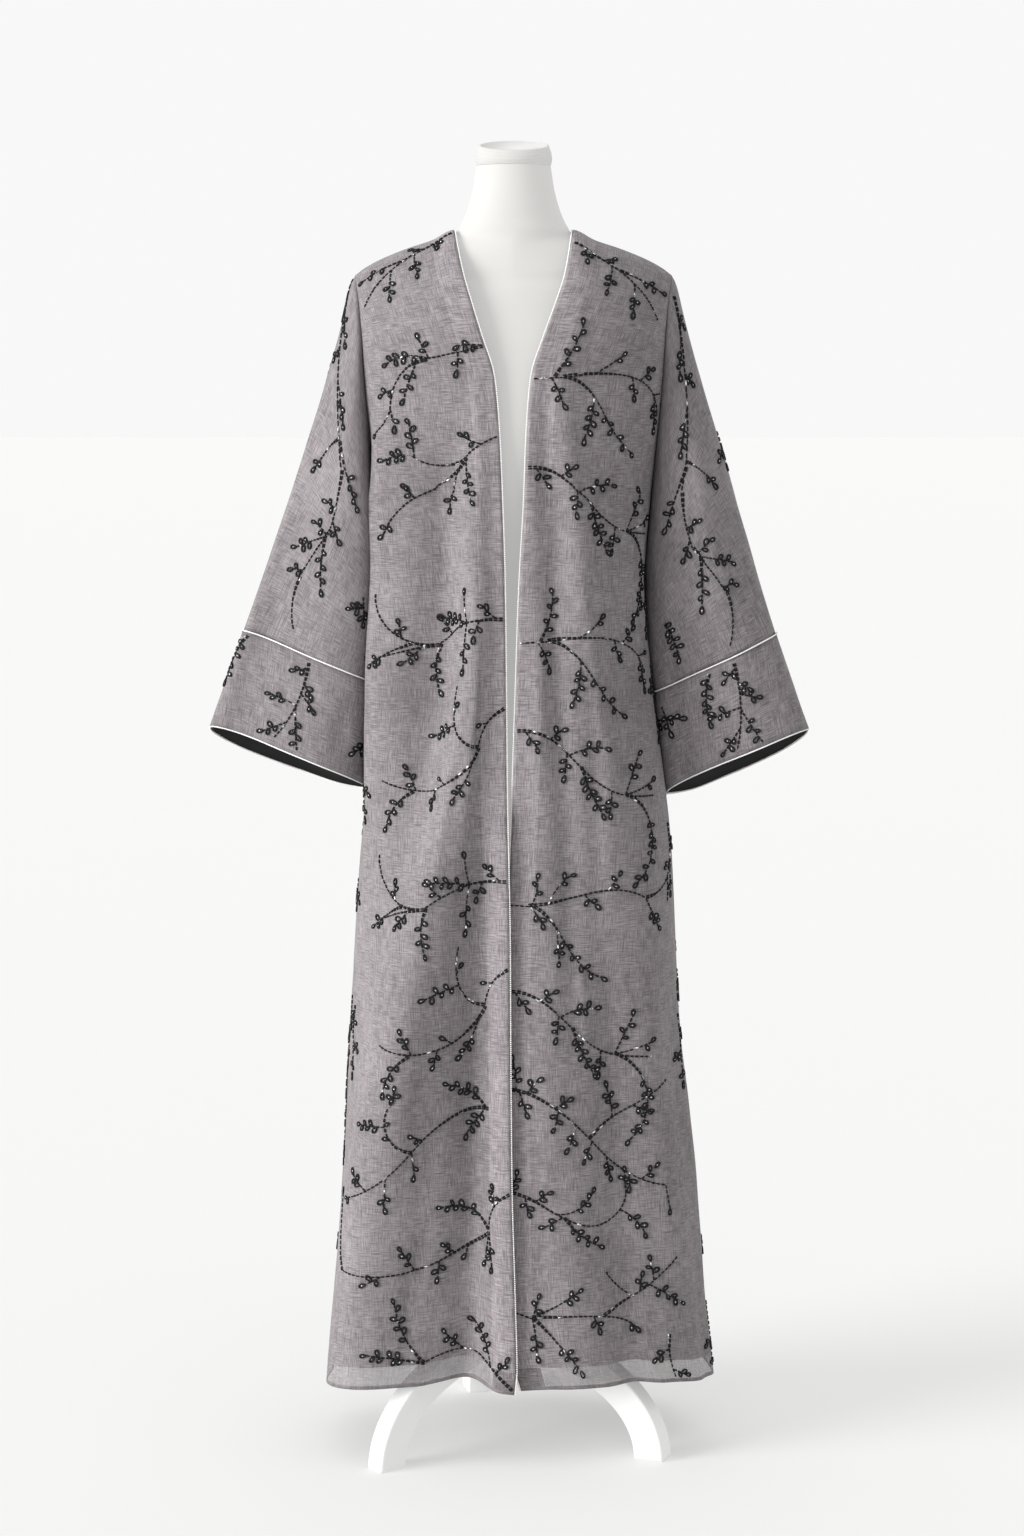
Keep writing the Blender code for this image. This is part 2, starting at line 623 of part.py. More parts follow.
def form_rings():
    """The torso's rings, with the shoulder rings taken from the cloth's own ridge."""
    outs = np.linspace(NECK_X, RIDGE[-1].out, RIDGE_SAMPLES)
    heights = through(RIDGE, "height", outs) - FORM_UNDER_RIDGE
    rings = list(FORM_RINGS)
    low, high = FORM_RINGS[-1], NECK_RINGS[0]
    for height in FORM_RIDGE_HEIGHTS:
        share = (height - low.height) / (high.height - low.height)
        wide = float(np.interp(-height, -heights, outs))
        front = low.front + (high.front - low.front) * share
        back = low.back + (high.back - low.back) * share
        rings.append(FormRing(height, wide, front, back, low.power))
    return rings + NECK_RINGS


def make_form(white, knit):
    rings = form_rings()
    loft("form_torso", [ring_points(ring, FORM_SIDES) for ring in rings], white)
    base = rings[-1].height + SEAM_GAP
    turn = np.arange(FORM_SIDES) / FORM_SIDES * 2 * math.pi
    loops = []
    for band in CAP_BANDS:
        radius = CAP_RADIUS + CAP_BULGE * band.bulge_share
        x, y = radius * np.cos(turn), radius * np.sin(turn)
        z = base + band.height_share * (CAP_HEIGHT + y * math.tan(CAP_TILT))
        loops.append(np.stack([x, y + SHOULDER_Y, z], axis=1))
    loft("form_neck_cap", loops, knit)


def make_stand(paint):
    bpy.ops.mesh.primitive_cylinder_add(vertices=ROUND_SIDES, radius=POLE_R, depth=1.0)
    pole = bpy.context.object
    top = FORM_RINGS[0].height - SEAM_GAP
    low = HUB_TOP + SEAM_GAP
    pole.name = pole.data.name = "stand_pole"
    pole.dimensions.z = top - low
    pole.location = (POLE_X, POLE_Y, (top + low) / 2)
    pole.data.shade_smooth()
    pole.data.set_sharp_from_angle(angle=math.radians(SHARP))
    for holder in list(pole.users_collection):
        holder.objects.unlink(pole)
    link(pole, paint)
    hub = turned_hub(paint)
    for number, turn in enumerate(LEG_TURNS, start=1):
        leg = make_leg(f"stand_leg_{number}", paint)
        leg.location = hub.location
        leg.rotation_euler = (math.radians(90), 0, math.radians(turn))


def turned_hub(paint):
    """The hub that the legs are fixed to, turned from its profile."""
    profile = [
        (0.0, HUB_TOP),
        (HUB_R * 0.72, HUB_TOP),
        (HUB_R * 0.94, HUB_TOP - 0.006),
        (HUB_R, HUB_TOP - 0.014),
        (HUB_R, HUB_BOTTOM + 0.008),
        (HUB_R * 0.80, HUB_BOTTOM),
        (0.0, HUB_BOTTOM),
    ]
    mesh = bpy.data.meshes.new("stand_hub")
    edges = [(i, i + 1) for i in range(len(profile) - 1)]
    mesh.from_pydata([(radius, 0, height) for radius, height in profile], edges, [])
    hub = link(bpy.data.objects.new("stand_hub", mesh), paint)
    hub.location = (POLE_X, POLE_Y, 0)
    screw = hub.modifiers.new("turned", "SCREW")
    screw.steps = screw.render_steps = ROUND_SIDES
    screw.use_merge_vertices = True
    screw.merge_threshold = 0.00001
    screw.use_smooth_shade = True
    return hub


def make_leg(name, paint):
    """One arched leg of square section: a flat outline between two quarter ellipses."""
    inner_reach, inner_rise = LEG_REACH - LEG_DEPTH, LEG_RISE - LEG_DEPTH
    start = HUB_R + SEAM_GAP
    outline = []
    for reach, rise, order in ((LEG_REACH, LEG_RISE, 1), (inner_reach, inner_rise, -1)):
        last = math.acos(start / reach)
        turns = np.linspace(0, last, LEG_STEPS)[::order]
        outline += [(reach * math.cos(t), rise * math.sin(t)) for t in turns]
    curve = bpy.data.curves.new(name, "CURVE")
    curve.dimensions = "2D"
    curve.fill_mode = "BOTH"
    curve.extrude = LEG_WIDTH / 2
    spline = curve.splines.new("POLY")
    spline.points.add(len(outline) - 1)
    for knot, (x, y) in zip(spline.points, outline):
        knot.co = (x, y, 0, 1)
    spline.use_cyclic_u = True
    return link(bpy.data.objects.new(name, curve), paint)


def main():
    for obj in list(bpy.data.objects):
        bpy.data.objects.remove(obj)
    bpy.context.scene.collection.children.link(bpy.data.collections.new(COLLECTION))
    cloth = principled("taupe_linen_look_cloth", (0.27, 0.245, 0.255), 0.78)
    lining = principled("black_lining", (0.012, 0.012, 0.013), 0.55)
    piping = principled("white_beaded_piping", (0.85, 0.84, 0.82), 0.35)
    white = principled("white_form", (0.82, 0.82, 0.81), 0.62)
    knit = principled("white_knit_cap", (0.80, 0.80, 0.79), 0.85)
    paint = principled("white_painted_stand", (0.84, 0.84, 0.84), 0.35)
    make_body(cloth, lining, piping)
    make_form(white, knit)
    make_stand(paint)


main()
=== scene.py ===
"""Open-front abaya on a limbless dress form with a tripod stand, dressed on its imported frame.

Metres, +Z up, +X to the viewer's right, the front faces -Y. "right" and "left" are the wearer's, so
the right side is at -X. The sections follow the object as it is put together, from the legs of the
stand up to the embroidery, and then come the floor, the light and the camera.
"""

import json
import math
import random
from collections import namedtuple

import bmesh
import bpy
import numpy as np
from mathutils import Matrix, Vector, noise

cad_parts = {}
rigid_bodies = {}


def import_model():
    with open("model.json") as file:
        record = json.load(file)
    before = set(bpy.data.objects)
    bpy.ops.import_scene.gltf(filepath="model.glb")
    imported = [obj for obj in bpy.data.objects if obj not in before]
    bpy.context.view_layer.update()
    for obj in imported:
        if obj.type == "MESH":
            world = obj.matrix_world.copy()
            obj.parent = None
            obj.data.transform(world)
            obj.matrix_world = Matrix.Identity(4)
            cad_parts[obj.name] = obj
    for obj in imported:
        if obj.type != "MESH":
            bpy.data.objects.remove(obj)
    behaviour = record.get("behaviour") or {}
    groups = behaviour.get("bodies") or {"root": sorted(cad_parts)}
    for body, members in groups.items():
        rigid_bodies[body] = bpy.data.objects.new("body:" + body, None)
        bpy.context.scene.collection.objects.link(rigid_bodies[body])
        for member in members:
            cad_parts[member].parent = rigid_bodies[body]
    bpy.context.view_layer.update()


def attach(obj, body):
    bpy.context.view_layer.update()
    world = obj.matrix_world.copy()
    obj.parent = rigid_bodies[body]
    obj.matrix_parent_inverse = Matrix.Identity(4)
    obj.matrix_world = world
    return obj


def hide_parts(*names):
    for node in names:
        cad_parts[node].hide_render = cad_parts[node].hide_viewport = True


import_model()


# Legs of the stand. Each is one arched bar of square steel, painted satin white and bolted to the hub
# by its high end. Its long edges are rounded over, and its low end is cut level to stand on the floor.
SEAM_GAP = 0.0003  # between two pieces that are bolted or sewn together
POLE_X, POLE_Y = -0.005, -0.024
HUB_R = 0.029
LEG_REACH, LEG_RISE, LEG_DEPTH, LEG_WIDTH = 0.212, 0.145, 0.038, 0.027
LEG_TURNS = (221, 333, 103)  # degrees round the pole from +X
LEG_STEPS = 36
LEG_ROUND = 0.0028
# Painted light: the white paint gives off light as emission, which lightens its shaded side.
PAINT_PAINTED_LIGHT = 0.30
GLOW_TINT = (1, 1, 0.985, 1)


def feed(tree, socket, value):
    """Link an input to another node's output, or set it to a plain value."""
    if isinstance(value, bpy.types.NodeSocket):
        tree.links.new(value, socket)
    else:
        socket.default_value = value


def node(tree, kind, settings=None, **sockets):
    """Add a shader node, and feed its input sockets by their names."""
    made = tree.nodes.new(kind)
    for name, value in (settings or {}).items():
        setattr(made, name, value)
    for name, value in sockets.items():
        feed(tree, made.inputs[name.replace("_", " ")], value)
    return made


def grain(tree, where, scale, detail=2.0, kind="3D"):
    """Noise over coordinates that are first stretched by scale."""
    stretched = node(tree, "ShaderNodeMapping", Vector=where, Scale=scale).outputs["Vector"]
    sockets = {"Vector": stretched, "Detail": detail, "Scale": 1.0}
    return node(tree, "ShaderNodeTexNoise", {"noise_dimensions": kind}, **sockets).outputs["Fac"]


def finish_named(name, roughness, glow=0.0, **sockets):
    """A material, its tree and its object coordinates.

    glow is emission. On the white paint, jersey and knit it is painted light that lightens their shaded
    side; on the floor it keeps the paper evenly bright.
    """
    material = bpy.data.materials.new(name)
    material.use_nodes = True
    tree = material.node_tree
    if glow:
        sockets.update(Emission_Color=GLOW_TINT, Emission_Strength=glow)
    for socket, value in {"Roughness": roughness, **sockets}.items():
        tree.nodes["Principled BSDF"].inputs[socket.replace("_", " ")].default_value = value
    return material, tree, node(tree, "ShaderNodeTexCoord").outputs["Object"]


def dye(tree, factor, dark, light, low=0.0, high=1.0):
    """Colour the surface between two shades, as the factor goes from low to high."""
    ramp = node(tree, "ShaderNodeValToRGB", Fac=factor)
    for stop, position, shade in zip(ramp.color_ramp.elements, (low, high), (dark, light)):
        stop.position = position
        stop.color = (*shade, 1.0)
    tree.links.new(ramp.outputs["Color"], tree.nodes["Principled BSDF"].inputs["Base Color"])


def relief(tree, height, strength, distance):
    bump = node(tree, "ShaderNodeBump", Strength=strength, Distance=distance, Height=height)
    tree.links.new(bump.outputs["Normal"], tree.nodes["Principled BSDF"].inputs["Normal"])


def satin_paint():
    # The paint's emission is painted light that lightens its shaded side.
    material, tree, where = finish_named("satin_white_paint", 0.34, PAINT_PAINTED_LIGHT)
    dye(tree, grain(tree, where, (9, 9, 9)), (0.46, 0.46, 0.46), (0.52, 0.52, 0.515))
    relief(tree, grain(tree, where, (900, 900, 900)), 0.12, 0.0002)
    return material


def added(name, data):
    """A new object in the scene."""
    obj = bpy.data.objects.new(name, data)
    bpy.context.scene.collection.objects.link(obj)
    return obj


def show(obj, material, stands_for=None):
    """Finish a piece and put it on the frame's only body, in place of a node of the frame."""
    obj.data.materials.append(material)
    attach(obj, "root")
    if stands_for:
        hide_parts(stands_for)
    return obj


def closed_curve(name, points, **settings):
    """A curve object on a closed line of points."""
    curve = bpy.data.curves.new(name, "CURVE")
    for key, value in settings.items():
        setattr(curve, key, value)
    spline = curve.splines.new("POLY")
    spline.points.add(len(points) - 1)
    for knot, point in zip(spline.points, points):
        knot.co = (*point, 1.0)
    spline.use_cyclic_u = True
    return added(name, curve)


def arched_leg(name):
    outline = []
    for shrink, order in ((0, 1), (LEG_DEPTH, -1)):
        reach, rise = LEG_REACH - shrink, LEG_RISE - shrink
        turns = np.linspace(0, math.acos((HUB_R + SEAM_GAP) / reach), LEG_STEPS)[::order]
        outline += [(reach * math.cos(t), rise * math.sin(t), 0) for t in turns]
    return closed_curve(
        name,
        outline,
        dimensions="2D",
        fill_mode="BOTH",
        extrude=LEG_WIDTH / 2 - LEG_ROUND,
        bevel_depth=LEG_ROUND,
        bevel_resolution=3,
        offset=-LEG_ROUND,
    )


paint = satin_paint()
for number, turn in enumerate(LEG_TURNS, start=1):
    leg = show(arched_leg(f"arched_leg_{number}"), paint, f"stand_leg_{number}")
    leg.location = (POLE_X, POLE_Y, 0)
    leg.rotation_euler = (math.radians(90), 0, math.radians(turn))


# Hub and pole. The hub is a turned steel collar with its edges eased, which the legs are bolted to,
# and the pole is a straight tube that stands in it and carries the form. Both are painted white.
HUB_BOTTOM, HUB_TOP = 0.098, 0.160
HUB_EASE, EASE_STEPS = 0.004, 6
POLE_R, POLE_END, POLE_RINGS = 0.015, 0.740, 9
TURNED_SIDES = 48


def loft(name, rings, sharp=50):
    """A closed solid through rings of equal counts, with flat ends."""
    mesh = bmesh.new()
    loops = [[mesh.verts.new(p) for p in ring] for ring in rings]
    for lower, upper in zip(loops, loops[1:]):
        for c in range(len(lower)):
            d = (c + 1) % len(lower)
            mesh.faces.new((lower[c], lower[d], upper[d], upper[c])).smooth = True
    mesh.faces.new(loops[0][::-1])
    mesh.faces.new(loops[-1])
    bmesh.ops.recalc_face_normals(mesh, faces=mesh.faces)
    data = bpy.data.meshes.new(name)
    mesh.to_mesh(data)
    mesh.free()
    data.set_sharp_from_angle(angle=math.radians(sharp))
    return added(name, data)


def equal_turns(count):
    return np.arange(count) / count * 2 * math.pi


def turned(name, profile):
    turns = equal_turns(TURNED_SIDES)
    circle = np.stack([np.cos(turns), np.sin(turns), np.zeros(TURNED_SIDES)], axis=1)
    return loft(name, [radius * circle + (POLE_X, POLE_Y, height) for radius, height in profile])


def eased(radius, height, up):
    """A rounded edge of the hub: from its side to its end face, up or down."""
    turns = np.linspace(0, math.pi / 2, EASE_STEPS)
    return [
        (radius - HUB_EASE * (1 - math.cos(t)), height + up * HUB_EASE * (math.sin(t) - 1)) for t in turns
    ]


hub = turned("stand_collar", eased(HUB_R, HUB_BOTTOM, -1)[::-1] + eased(HUB_R, HUB_TOP, 1))
show(hub, paint, "stand_hub")
pole_heights = np.linspace(HUB_TOP + SEAM_GAP, POLE_END - SEAM_GAP, POLE_RINGS)
pole = turned("stand_tube", [(POLE_R, height) for height in pole_heights])
show(pole, paint, "stand_pole")


# Dress form. A hollow shell padded and covered in white jersey, with no arms and no head, flat across
# the bottom, where the pole enters it. The jersey is sewn down each side with one fine seam.
def rows_of(kind, *rows):
    """A table with named columns."""
    return [kind(*row) for row in rows]


SHOULDER_Y = -0.016  # where the shoulder ridge stands, front to back
NECK_X = 0.070  # half the neck's width at the shoulder seam
FormRing = namedtuple("FormRing", "height half_width front back power")
FORM_RINGS = rows_of(
    FormRing,
    (0.74, 0.145, 0.088, 0.09, 2.2), (0.748, 0.152, 0.094, 0.096, 2.2), (0.8, 0.156, 0.097, 0.1, 2.2),
    (0.88, 0.153, 0.098, 0.101, 2.2), (0.96, 0.14, 0.092, 0.09, 2.2), (1.04, 0.126, 0.085, 0.08, 2.2),
    (1.11, 0.131, 0.094, 0.084, 2.2), (1.18, 0.144, 0.108, 0.094, 2.2), (1.24, 0.153, 0.113, 0.1, 2.2),
    (1.29, 0.161, 0.11, 0.102, 2.2), (1.33, 0.169, 0.102, 0.099, 2.1), (1.365, 0.1745, 0.09, 0.088, 1.85),
    (1.39, 0.177, 0.08, 0.078, 1.65), (1.404, 0.1755, 0.073, 0.072, 1.58),
)
NECK_RINGS = rows_of(
    FormRing,
    (1.4515, 0.075, 0.06, 0.057, 1.75), (1.456, 0.0685, 0.059, 0.056, 1.9),
    (1.462, 0.0655, 0.058, 0.055, 2), (1.474, 0.059, 0.055, 0.053, 2), (1.49, 0.053, 0.052, 0.05, 2),
    (1.51, 0.0478, 0.048, 0.046, 2), (1.528, 0.045, 0.045, 0.044, 2), (1.536, 0.0437, 0.0437, 0.0437, 2),
)
FORM_RIDGE_HEIGHTS = (1.412, 1.420, 1.428, 1.436, 1.444)
FORM_UNDER_RIDGE = 0.0047  # the form's shoulder lies this far under the cloth's ridge
RIDGE_SAMPLES = 60
FORM_SIDES = 112
FORM_STEPS = 6  # rings made between two of the table
FORM_SEAM_TURNS = (0.045, 0.455)  # where the side seams run, as shares of a turn from the left side
FORM_SEAM_SINK, FORM_SEAM_WIDTH = 0.0007, 0.0045
# Painted light: the jersey and the knit give off light as emission, so that their shaded side stays light.
JERSEY_PAINTED_LIGHT = 0.35

# Height of the shoulder ridge, by distance from the middle.
RIDGE = rows_of(
    namedtuple("Ridge", "out height"),
    (0, 1.462), (0.07, 1.462), (0.096, 1.45), (0.126, 1.44), (0.16, 1.426), (0.176, 1.417),
    (0.186, 1.4095),
)


def through(rows, field, at):
    """A smooth curve through one column of a table, with no overshoot between rows."""
    xs = np.array([row[0] for row in rows])
    ys = np.array([getattr(row, field) for row in rows])
    steps = np.diff(xs)
    slopes = np.diff(ys) / steps
    bends = np.zeros(len(xs))
    bends[0], bends[-1] = slopes[0], slopes[-1]
    product = slopes[:-1] * slopes[1:]
    same = product > 0
    bends[1:-1] = 2 * np.where(same, product, 0.0) / np.where(same, slopes[:-1] + slopes[1:], 1.0)
    at = np.clip(at, xs[0], xs[-1])
    i = np.clip(np.searchsorted(xs, at) - 1, 0, len(xs) - 2)
    t = (at - xs[i]) / steps[i]
    start = (1 + 2 * t) * (1 - t) ** 2 * ys[i] + t * (1 - t) ** 2 * steps[i] * bends[i]
    end = t * t * (3 - 2 * t) * ys[i + 1] + t * t * (t - 1) * steps[i] * bends[i + 1]
    return start + end


def between(start, end, share):
    return start + (end - start) * share


def swelled(turn, power):
    """A sine or cosine made fuller, so that a ring goes from an ellipse towards a box."""
    return np.sign(turn) * np.abs(turn) ** (2 / power)


def bell(apart, spread):
    """1 in the middle of a fold or seam, and nearly 0 twice its spread away."""
    return np.exp(-((apart / spread) ** 2))


def form_table():
    """The form's rings, with the shoulder rings taken from the cloth's own ridge."""
    outs = np.linspace(NECK_X, RIDGE[-1].out, RIDGE_SAMPLES)
    heights = through(RIDGE, "height", outs) - FORM_UNDER_RIDGE
    rings = list(FORM_RINGS)
    low, high = FORM_RINGS[-1], NECK_RINGS[0]
    for height in FORM_RIDGE_HEIGHTS:
        share = (height - low.height) / (high.height - low.height)
        front, back = between(low.front, high.front, share), between(low.back, high.back, share)
        rings.append(FormRing(height, np.interp(-height, -heights, outs), front, back, low.power))
    return rings + NECK_RINGS


def form_ring(table, height):
    """Points round the form at one height, sunk a little along the side seams."""
    turn = equal_turns(FORM_SIDES)
    half, front, back, power = [through(table, field, height) for field in FormRing._fields[1:]]
    x = half * swelled(np.cos(turn), power)
    y = swelled(np.sin(turn), power)
    y = y * np.where(y < 0, front, back)
    reach = np.hypot(x, y)
    for seam in FORM_SEAM_TURNS:
        apart = (turn - 2 * math.pi * (1 - seam)) * reach
        sunk = 1 - FORM_SEAM_SINK * bell(apart, FORM_SEAM_WIDTH) / reach
        x, y = x * sunk, y * sunk
    return np.stack([x, y + SHOULDER_Y, np.full(FORM_SIDES, height)], axis=1)


def sums(tree, operation, first, second):
    """The output of a Math node on two sockets or numbers."""
    made = node(tree, "ShaderNodeMath", {"operation": operation})
    feed(tree, made.inputs[0], first)
    feed(tree, made.inputs[1], second)
    return made.outputs[0]


def ribs(tree, where, scale, way="Z", wander=0.0):
    sockets = {"Vector": where, "Scale": scale, "Distortion": wander}
    return node(tree, "ShaderNodeTexWave", {"bands_direction": way}, **sockets).outputs["Fac"]


def white_jersey():
    # The jersey's emission is painted light on its shaded side.
    material, tree, where = finish_named("white_jersey", 0.72, JERSEY_PAINTED_LIGHT, Sheen_Weight=0.12)
    pile = grain(tree, where, (420, 420, 420), 3.0)
    knitted = sums(tree, "MULTIPLY", ribs(tree, where, 260.0), 0.35)
    relief(tree, sums(tree, "ADD", knitted, pile), 0.16, 0.0004)
    dye(tree, grain(tree, where, (14, 14, 10), 3.0), (0.275, 0.270, 0.258), (0.31, 0.305, 0.293))
    return material


rings = form_table()
count = len(rings)
ring_places = np.linspace(0, count - 1, FORM_STEPS * (count - 1) + 1)
fine = np.interp(ring_places, range(count), [ring.height for ring in rings])
torso = loft("dress_form", [form_ring(rings, height) for height in fine])
show(torso, white_jersey(), "form_torso")


# Neck cap. A short tube of white ribbed knit is pulled over a disc on top of the neck and sewn to the
# jersey along its lower edge. It swells above that seam and draws in to a rim round the sunken top.
CAP_RADIUS, CAP_HEIGHT, CAP_BULGE, CAP_TILT = 0.0437, 0.0238, 0.0016, math.radians(11)
CAP_RIBS, CAP_RIB_RISE = 120, 0.00022
CAP_RIM, CAP_SUNK_SHARE, CAP_SUNK_IN = 0.0030, 0.93, 1.3  # the sunken top's height share and inset
CAP_BANDS = rows_of(
    namedtuple("Band", "height_share bulge_share"),
    (0, -0.2), (0.05, 0.25), (0.09, 0.2), (0.12, 0.45), (0.22, 0.85), (0.34, 1), (0.5, 0.7), (0.65, 0.3),
    (0.82, -0.6), (0.94, -1.2), (1, -1.6),
)


def cap_rings():
    turn = equal_turns(2 * CAP_RIBS)
    knit = CAP_RIB_RISE * np.cos(turn * CAP_RIBS)
    rim = CAP_RADIUS + CAP_BULGE * CAP_BANDS[-1].bulge_share
    bands = [(band.height_share, CAP_RADIUS + CAP_BULGE * band.bulge_share + knit) for band in CAP_BANDS]
    made = []
    for share, radius in bands + [(1.0, rim - CAP_RIM), (CAP_SUNK_SHARE, rim - CAP_SUNK_IN * CAP_RIM)]:
        x, y = radius * np.cos(turn), radius * np.sin(turn)
        z = NECK_RINGS[-1].height + SEAM_GAP + share * (CAP_HEIGHT + y * math.tan(CAP_TILT))
        made.append(np.stack([x, y + SHOULDER_Y, z], axis=1))
    return made


def ribbed_knit():
    # The knit's emission is painted light on its shaded side.
    material, tree, where = finish_named("white_ribbed_knit", 0.86, JERSEY_PAINTED_LIGHT, Sheen_Weight=0.2)
    rows = sums(tree, "MULTIPLY", ribs(tree, where, 190.0, wander=1.5), 0.8)
    height = sums(tree, "ADD", rows, grain(tree, where, (700, 700, 700), 3.0))
    relief(tree, height, 0.45, 0.0006)
    # The colour follows the rows' relief and is darker where they sink: painted shade in the grooves.
    dye(tree, height, (0.206, 0.202, 0.194), (0.31, 0.304, 0.293), 0.35)
    return material


show(loft("knit_neck_cap", cap_rings(), sharp=75), ribbed_knit(), "form_neck_cap")


# Fronts and back. Three large panels of grey-taupe linen-look cloth, light enough to show what lies
# under it, sewn at the sides and shoulders and open all the way down the front. The hem is rolled.
CLOTH_T = 0.0005
HEM = 0.088
UNDERARM = 1.150
CHEST = 1.290  # above this height the cloth rolls over the shoulder
SECTION_POWER = 2.4
NECK_BACK = 0.078  # how far the back neck lies behind the shoulder ridge
NECK_POWER = 2.6
FACING_W = 0.030
LINING_LIFT = 0.027  # the lining's hem ends this far above the cloth's hem
ROLLED_HEM = 0.0045
RIGHT, LEFT = -1, 1
FRONT, BACK = -1, 1
SIDES = {"right": RIGHT, "left": LEFT}

# Outline of the cloth at each height, outwards from the middle: half width at the right side seam or
# armhole and where the right front's edge is, and the same two on the left.
Station = namedtuple("Station", "height side edge")
OUTLINE = (
    (0.088, 0.22, -0.001, 0.241, 0.009), (0.115, 0.2185, -0.003, 0.2375, 0.002),
    (0.2, 0.2115, -0.001, 0.2265, -0.007), (0.35, 0.2035, 0.003, 0.215, -0.01),
    (0.54, 0.1955, 0.0045, 0.199, -0.011), (0.64, 0.19, 0.005, 0.1945, -0.0085),
    (0.724, 0.184, 0.0065, 0.19, -0.004), (0.8, 0.1755, 0.008, 0.182, -0.001),
    (0.92, 0.163, 0.009, 0.167, 0.003), (1.05, 0.154, 0.0105, 0.156, 0.0075),
    (1.15, 0.163, 0.0135, 0.163, 0.013), (1.22, 0.169, 0.0165, 0.169, 0.0155),
    (1.29, 0.175, 0.0225, 0.175, 0.021), (1.339, 0.178, 0.0375, 0.178, 0.0365),
    (1.376, 0.1815, 0.049, 0.1815, 0.05), (1.41, 0.186, 0.059, 0.186, 0.061),
    (1.462, 0.186, 0.07, 0.186, 0.07),
)
STATIONS = {
    RIGHT: [Station(height, side, edge) for height, side, edge, _, _ in OUTLINE],
    LEFT: [Station(height, side, edge) for height, _, _, side, edge in OUTLINE],
}

# Depth of the cloth in front of and behind the shoulder ridge, on the middle line.
DEPTHS = rows_of(
    namedtuple("Depth", "height front back"),
    (0.088, 0.14, 0.172), (0.35, 0.13, 0.153), (0.6, 0.122, 0.136), (0.8, 0.119, 0.124),
    (1, 0.119, 0.113), (1.15, 0.122, 0.114), (1.25, 0.124, 0.117), (1.29, 0.122, 0.116),
)

# The armhole lies this far inside the widest line of the body's section, so that it sinks in a valley.
ARMHOLE_INSET = rows_of(
    namedtuple("Inset", "height depth"),
    (1.15, 0), (1.2, 0.0022), (1.25, 0.006), (1.29, 0.0078), (1.41, 0.011),
)

# Large folds of the skirt. Places run round each side: 0 at the front edge, 1 at the side seam,
# 2 at the centre back. rise is outwards at the hem, negative for a trough; start is where it begins.
Fold = namedtuple("Fold", "top_place hem_place spread rise start full")
FOLDS = {
    RIGHT: rows_of(
        Fold,
        (0.18, 0.64, 0.18, 0.039, 1.2, 0.35), (0.05, 0.18, 0.12, -0.025, 1.06, 0.3),
        (0.74, 0.9, 0.1, 0.002, 1.1, 0.7), (0.5, 0.33, 0.1, -0.004, 1.18, 0.8),
        (1.22, 1.2, 0.1, 0.012, 0.98, 0.3), (1.42, 1.44, 0.1, -0.013, 1.1, 0.35),
        (1.62, 1.66, 0.11, 0.013, 1.15, 0.35), (1.84, 1.86, 0.09, -0.009, 1.15, 0.4),
    ),
    LEFT: rows_of(
        Fold,
        (0.1, 0.25, 0.09, 0.003, 1.18, 0.5), (0.4, 0.46, 0.08, -0.007, 1.2, 0.7),
        (0.58, 0.74, 0.11, 0.007, 1.15, 0.6), (0.68, 0.84, 0.07, -0.004, 0.9, 0.3),
        (0.86, 0.92, 0.08, 0.005, 0.8, 0.25), (1.26, 1.24, 0.1, -0.011, 0.98, 0.3),
        (1.46, 1.46, 0.1, 0.014, 1.12, 0.3), (1.68, 1.66, 0.1, -0.011, 1.15, 0.35),
        (1.88, 1.88, 0.08, 0.009, 1.15, 0.4),
    ),
}
EDGE_HOLD = 0.10  # the folds die out this near to the front edge

# Height of the hem round each side, by the same places.
HEM_LINE = rows_of(
    namedtuple("HemLine", "place height"),
    (0, 0.092), (0.3, 0.098), (0.6, 0.095), (0.85, 0.084), (1, 0.08), (1.3, 0.082), (2, 0.086),
)
HEM_BLEND = 0.40  # rows above this height are level
HEM_RISE = 0.35  # the hem also lifts by this share of a trough's depth

# Where the right front laps over the left one, each edge moves off the shared line by this much.
LAP = {RIGHT: 0.0045, LEFT: -0.0055}
LAP_TOP, LAP_FULL, LAP_SPREAD = 0.86, 0.72, 0.16

# Rows and columns of the panels. From the underarm up, each coarse row is split the same number of
# times, so that a sleeve's places stay where the frame has them.
HEM_ROWS = (0, ROLLED_HEM, 0.012, 0.020)
SKIRT_ROW = 0.0085
UPPER_ROWS = [UNDERARM, 1.20, 1.25, CHEST]
ROLL_ROWS = 6
ROW_SPLIT = 4
FACING_COLUMNS, FRONT_COLUMNS = 8, 52
NECK_COLUMNS, BACK_COLUMNS = 12, 36
DENSE = 400
NEAR = 1e-6  # metres that count as none

